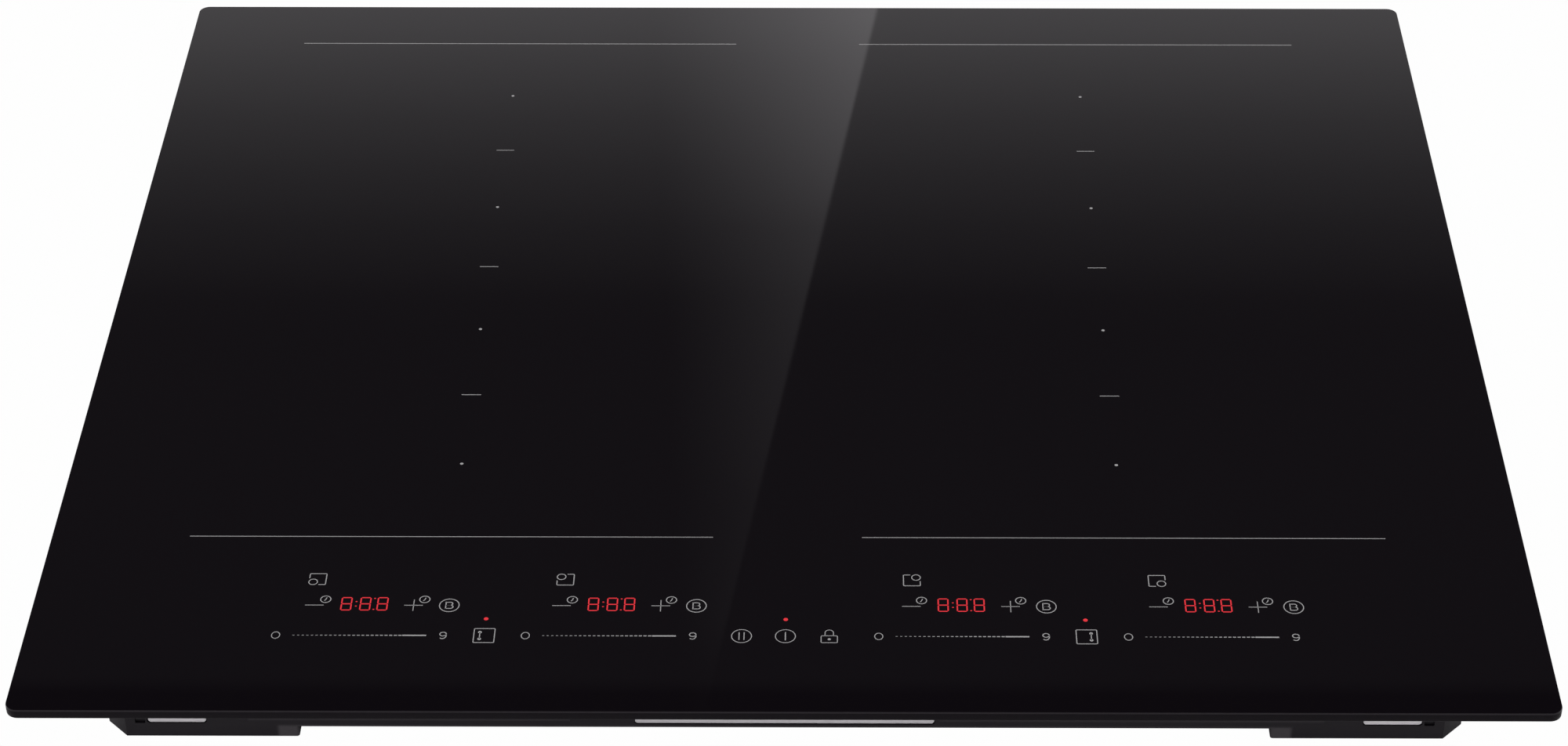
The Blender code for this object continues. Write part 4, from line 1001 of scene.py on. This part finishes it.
def spiral_rings(mesh, middle, wire, level, rise):
    """Rings of points round a bundle, at even steps along a spiral from the bore outward."""
    rings = []
    for step in range((WIRE_TURNS - 1) * WIRE_STEPS + 1):
        angle = 2 * math.pi * step / WIRE_STEPS
        radius = WIRE_BORE + wire * (0.5 + step / WIRE_STEPS)
        ring = []
        for corner in range(WIRE_SECTION):
            turn = 2 * math.pi * (corner + 0.5) / WIRE_SECTION
            reach = radius + wire * WIRE_FILL[0] * math.cos(turn)
            x = middle.x + reach * math.cos(angle)
            y = middle.y + reach * math.sin(angle)
            ring.append(mesh.verts.new((x, y, level + rise * math.sin(turn))))
        rings.append(ring)
    return rings


def make_winding(place):
    """One winding as a spiral of litz bundle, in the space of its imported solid."""
    node = f"coil_winding_{place}"
    low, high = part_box(node)
    outer = (high.y - low.y) / 2 / MM
    wire = (outer - WIRE_BORE) / WIRE_TURNS
    level = (low.z + high.z) / 2 / MM
    rise = (high.z - low.z) / 2 / MM * WIRE_FILL[1]
    mesh = bmesh.new()
    rings = spiral_rings(mesh, middle_of(f"coil_former_{place}"), wire, level, rise)
    for before, after in zip(rings, rings[1:]):
        for corner in range(WIRE_SECTION):
            other = (corner + 1) % WIRE_SECTION
            face = mesh.faces.new((before[corner], before[other], after[other], after[corner]))
            face.smooth = True
    mesh.faces.new(rings[0])
    mesh.faces.new(rings[-1])
    winding = new_piece(f"litz_spiral_{place}", mesh, "litz_copper")
    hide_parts(node)


def make_floor():
    """Plain white floor, even to the camera, that catches and returns light as pale grey for the rest."""
    mesh = bmesh.new()
    corners = ((-1, -1), (1, -1), (1, 1), (-1, 1))
    mesh.faces.new([mesh.verts.new((x * FLOOR_HALF, y * FLOOR_HALF, 0.0)) for x, y in corners])
    data = bpy.data.meshes.new("floor")
    mesh.to_mesh(data)
    mesh.free()
    floor = bpy.data.objects.new("floor", data)
    bpy.context.scene.collection.objects.link(floor)
    floor.location.z = -FLOOR_DROP
    material = bpy.data.materials.new("floor")
    material.use_nodes = True
    nodes = Nodes(material.node_tree)
    nodes.tree.nodes.clear()
    seen = nodes.add("ShaderNodeLightPath").outputs["Is Camera Ray"]
    white = nodes.add("ShaderNodeEmission", Color=(*WHITE, 1.0))
    grey = nodes.add("ShaderNodeBsdfDiffuse", Color=(*FLOOR_GREY, 1.0))
    mixed = nodes.add("ShaderNodeMixShader", Fac=seen)
    nodes.feed(mixed.inputs[1], grey.outputs[0])
    nodes.feed(mixed.inputs[2], white.outputs[0])
    nodes.add("ShaderNodeOutputMaterial", Surface=mixed.outputs[0])
    data.materials.append(material)
    floor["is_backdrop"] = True


def make_world():
    """Square white studio seen in the glass: walls that darken with height, and a slanting window."""
    world = bpy.data.worlds.new("studio")
    bpy.context.scene.world = world
    world.use_nodes = True
    nodes = Nodes(world.node_tree)
    nodes.tree.nodes.clear()
    x, y, z = nodes.split(nodes.add("ShaderNodeTexCoord").outputs["Generated"])
    distance = nodes.math("MAXIMUM", nodes.math("ABSOLUTE", x), nodes.math("ABSOLUTE", y))
    height = nodes.math("DIVIDE", z, distance)
    walls = nodes.curve(height, WALL_LIGHT)
    across = nodes.math("DIVIDE", x, nodes.math("MAXIMUM", y, 0.001))
    right = nodes.math("MULTIPLY_ADD", height, WINDOW_SLANT, WINDOW_RIGHT)
    share = nodes.remap(across, WINDOW_LEFT, right, 0.0, 1.0)
    inside = nodes.remap(nodes.math("SUBTRACT", across, right), -WINDOW_BLUR, WINDOW_BLUR, 1.0, 0.0)
    fade = nodes.math("POWER", share, WINDOW_FADE)
    window = nodes.math("MULTIPLY", fade, nodes.math("MULTIPLY", nodes.curve(height, WINDOW_LIGHT), inside))
    window = nodes.math("MULTIPLY", window, nodes.math("GREATER_THAN", y, 0.0))
    ceiling = nodes.remap(z, CEILING_FROM, 1.0, 0.0, CEILING_LIGHT, smooth=True)
    total = nodes.math("ADD", nodes.math("ADD", walls, window), ceiling)
    seen = nodes.add("ShaderNodeLightPath").outputs["Is Camera Ray"]
    colour = nodes.blend(seen, total, WHITE)
    background = nodes.add("ShaderNodeBackground", Color=colour)
    nodes.add("ShaderNodeOutputWorld", Surface=background.outputs[0])


def make_lights():
    """Three soft panels: one overhead, one from the front left and one from the back right."""
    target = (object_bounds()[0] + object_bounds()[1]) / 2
    for name, place, size, power in PANELS:
        light = bpy.data.lights.new(name, "AREA")
        light.shape = "SQUARE"
        light.size = size
        light.energy = power
        panel = bpy.data.objects.new(name, light)
        bpy.context.scene.collection.objects.link(panel)
        panel.location = place
        panel.rotation_euler = (panel.location - target).to_track_quat("Z", "Y").to_euler()
        panel.visible_glossy = False


def make_camera():
    lens = bpy.data.cameras.new("camera")
    lens.lens = CAMERA_LENS
    lens.sensor_width = CAMERA_SENSOR
    lens.shift_x, lens.shift_y = CAMERA_SHIFT
    camera = bpy.data.objects.new("camera", lens)
    bpy.context.scene.collection.objects.link(camera)
    camera.location = CAMERA_PLACE
    camera.rotation_euler = CAMERA_TURN
    bpy.context.scene.camera = camera


finish_cad_nodes()
make_glass()
print_zones()
print_controls()
print_keys()
for coil in ("front_left", "front_right", "rear_left", "rear_right"):
    make_winding(coil)
make_floor()
make_world()
make_lights()
make_camera()
bpy.context.scene.view_settings.view_transform = "Standard"
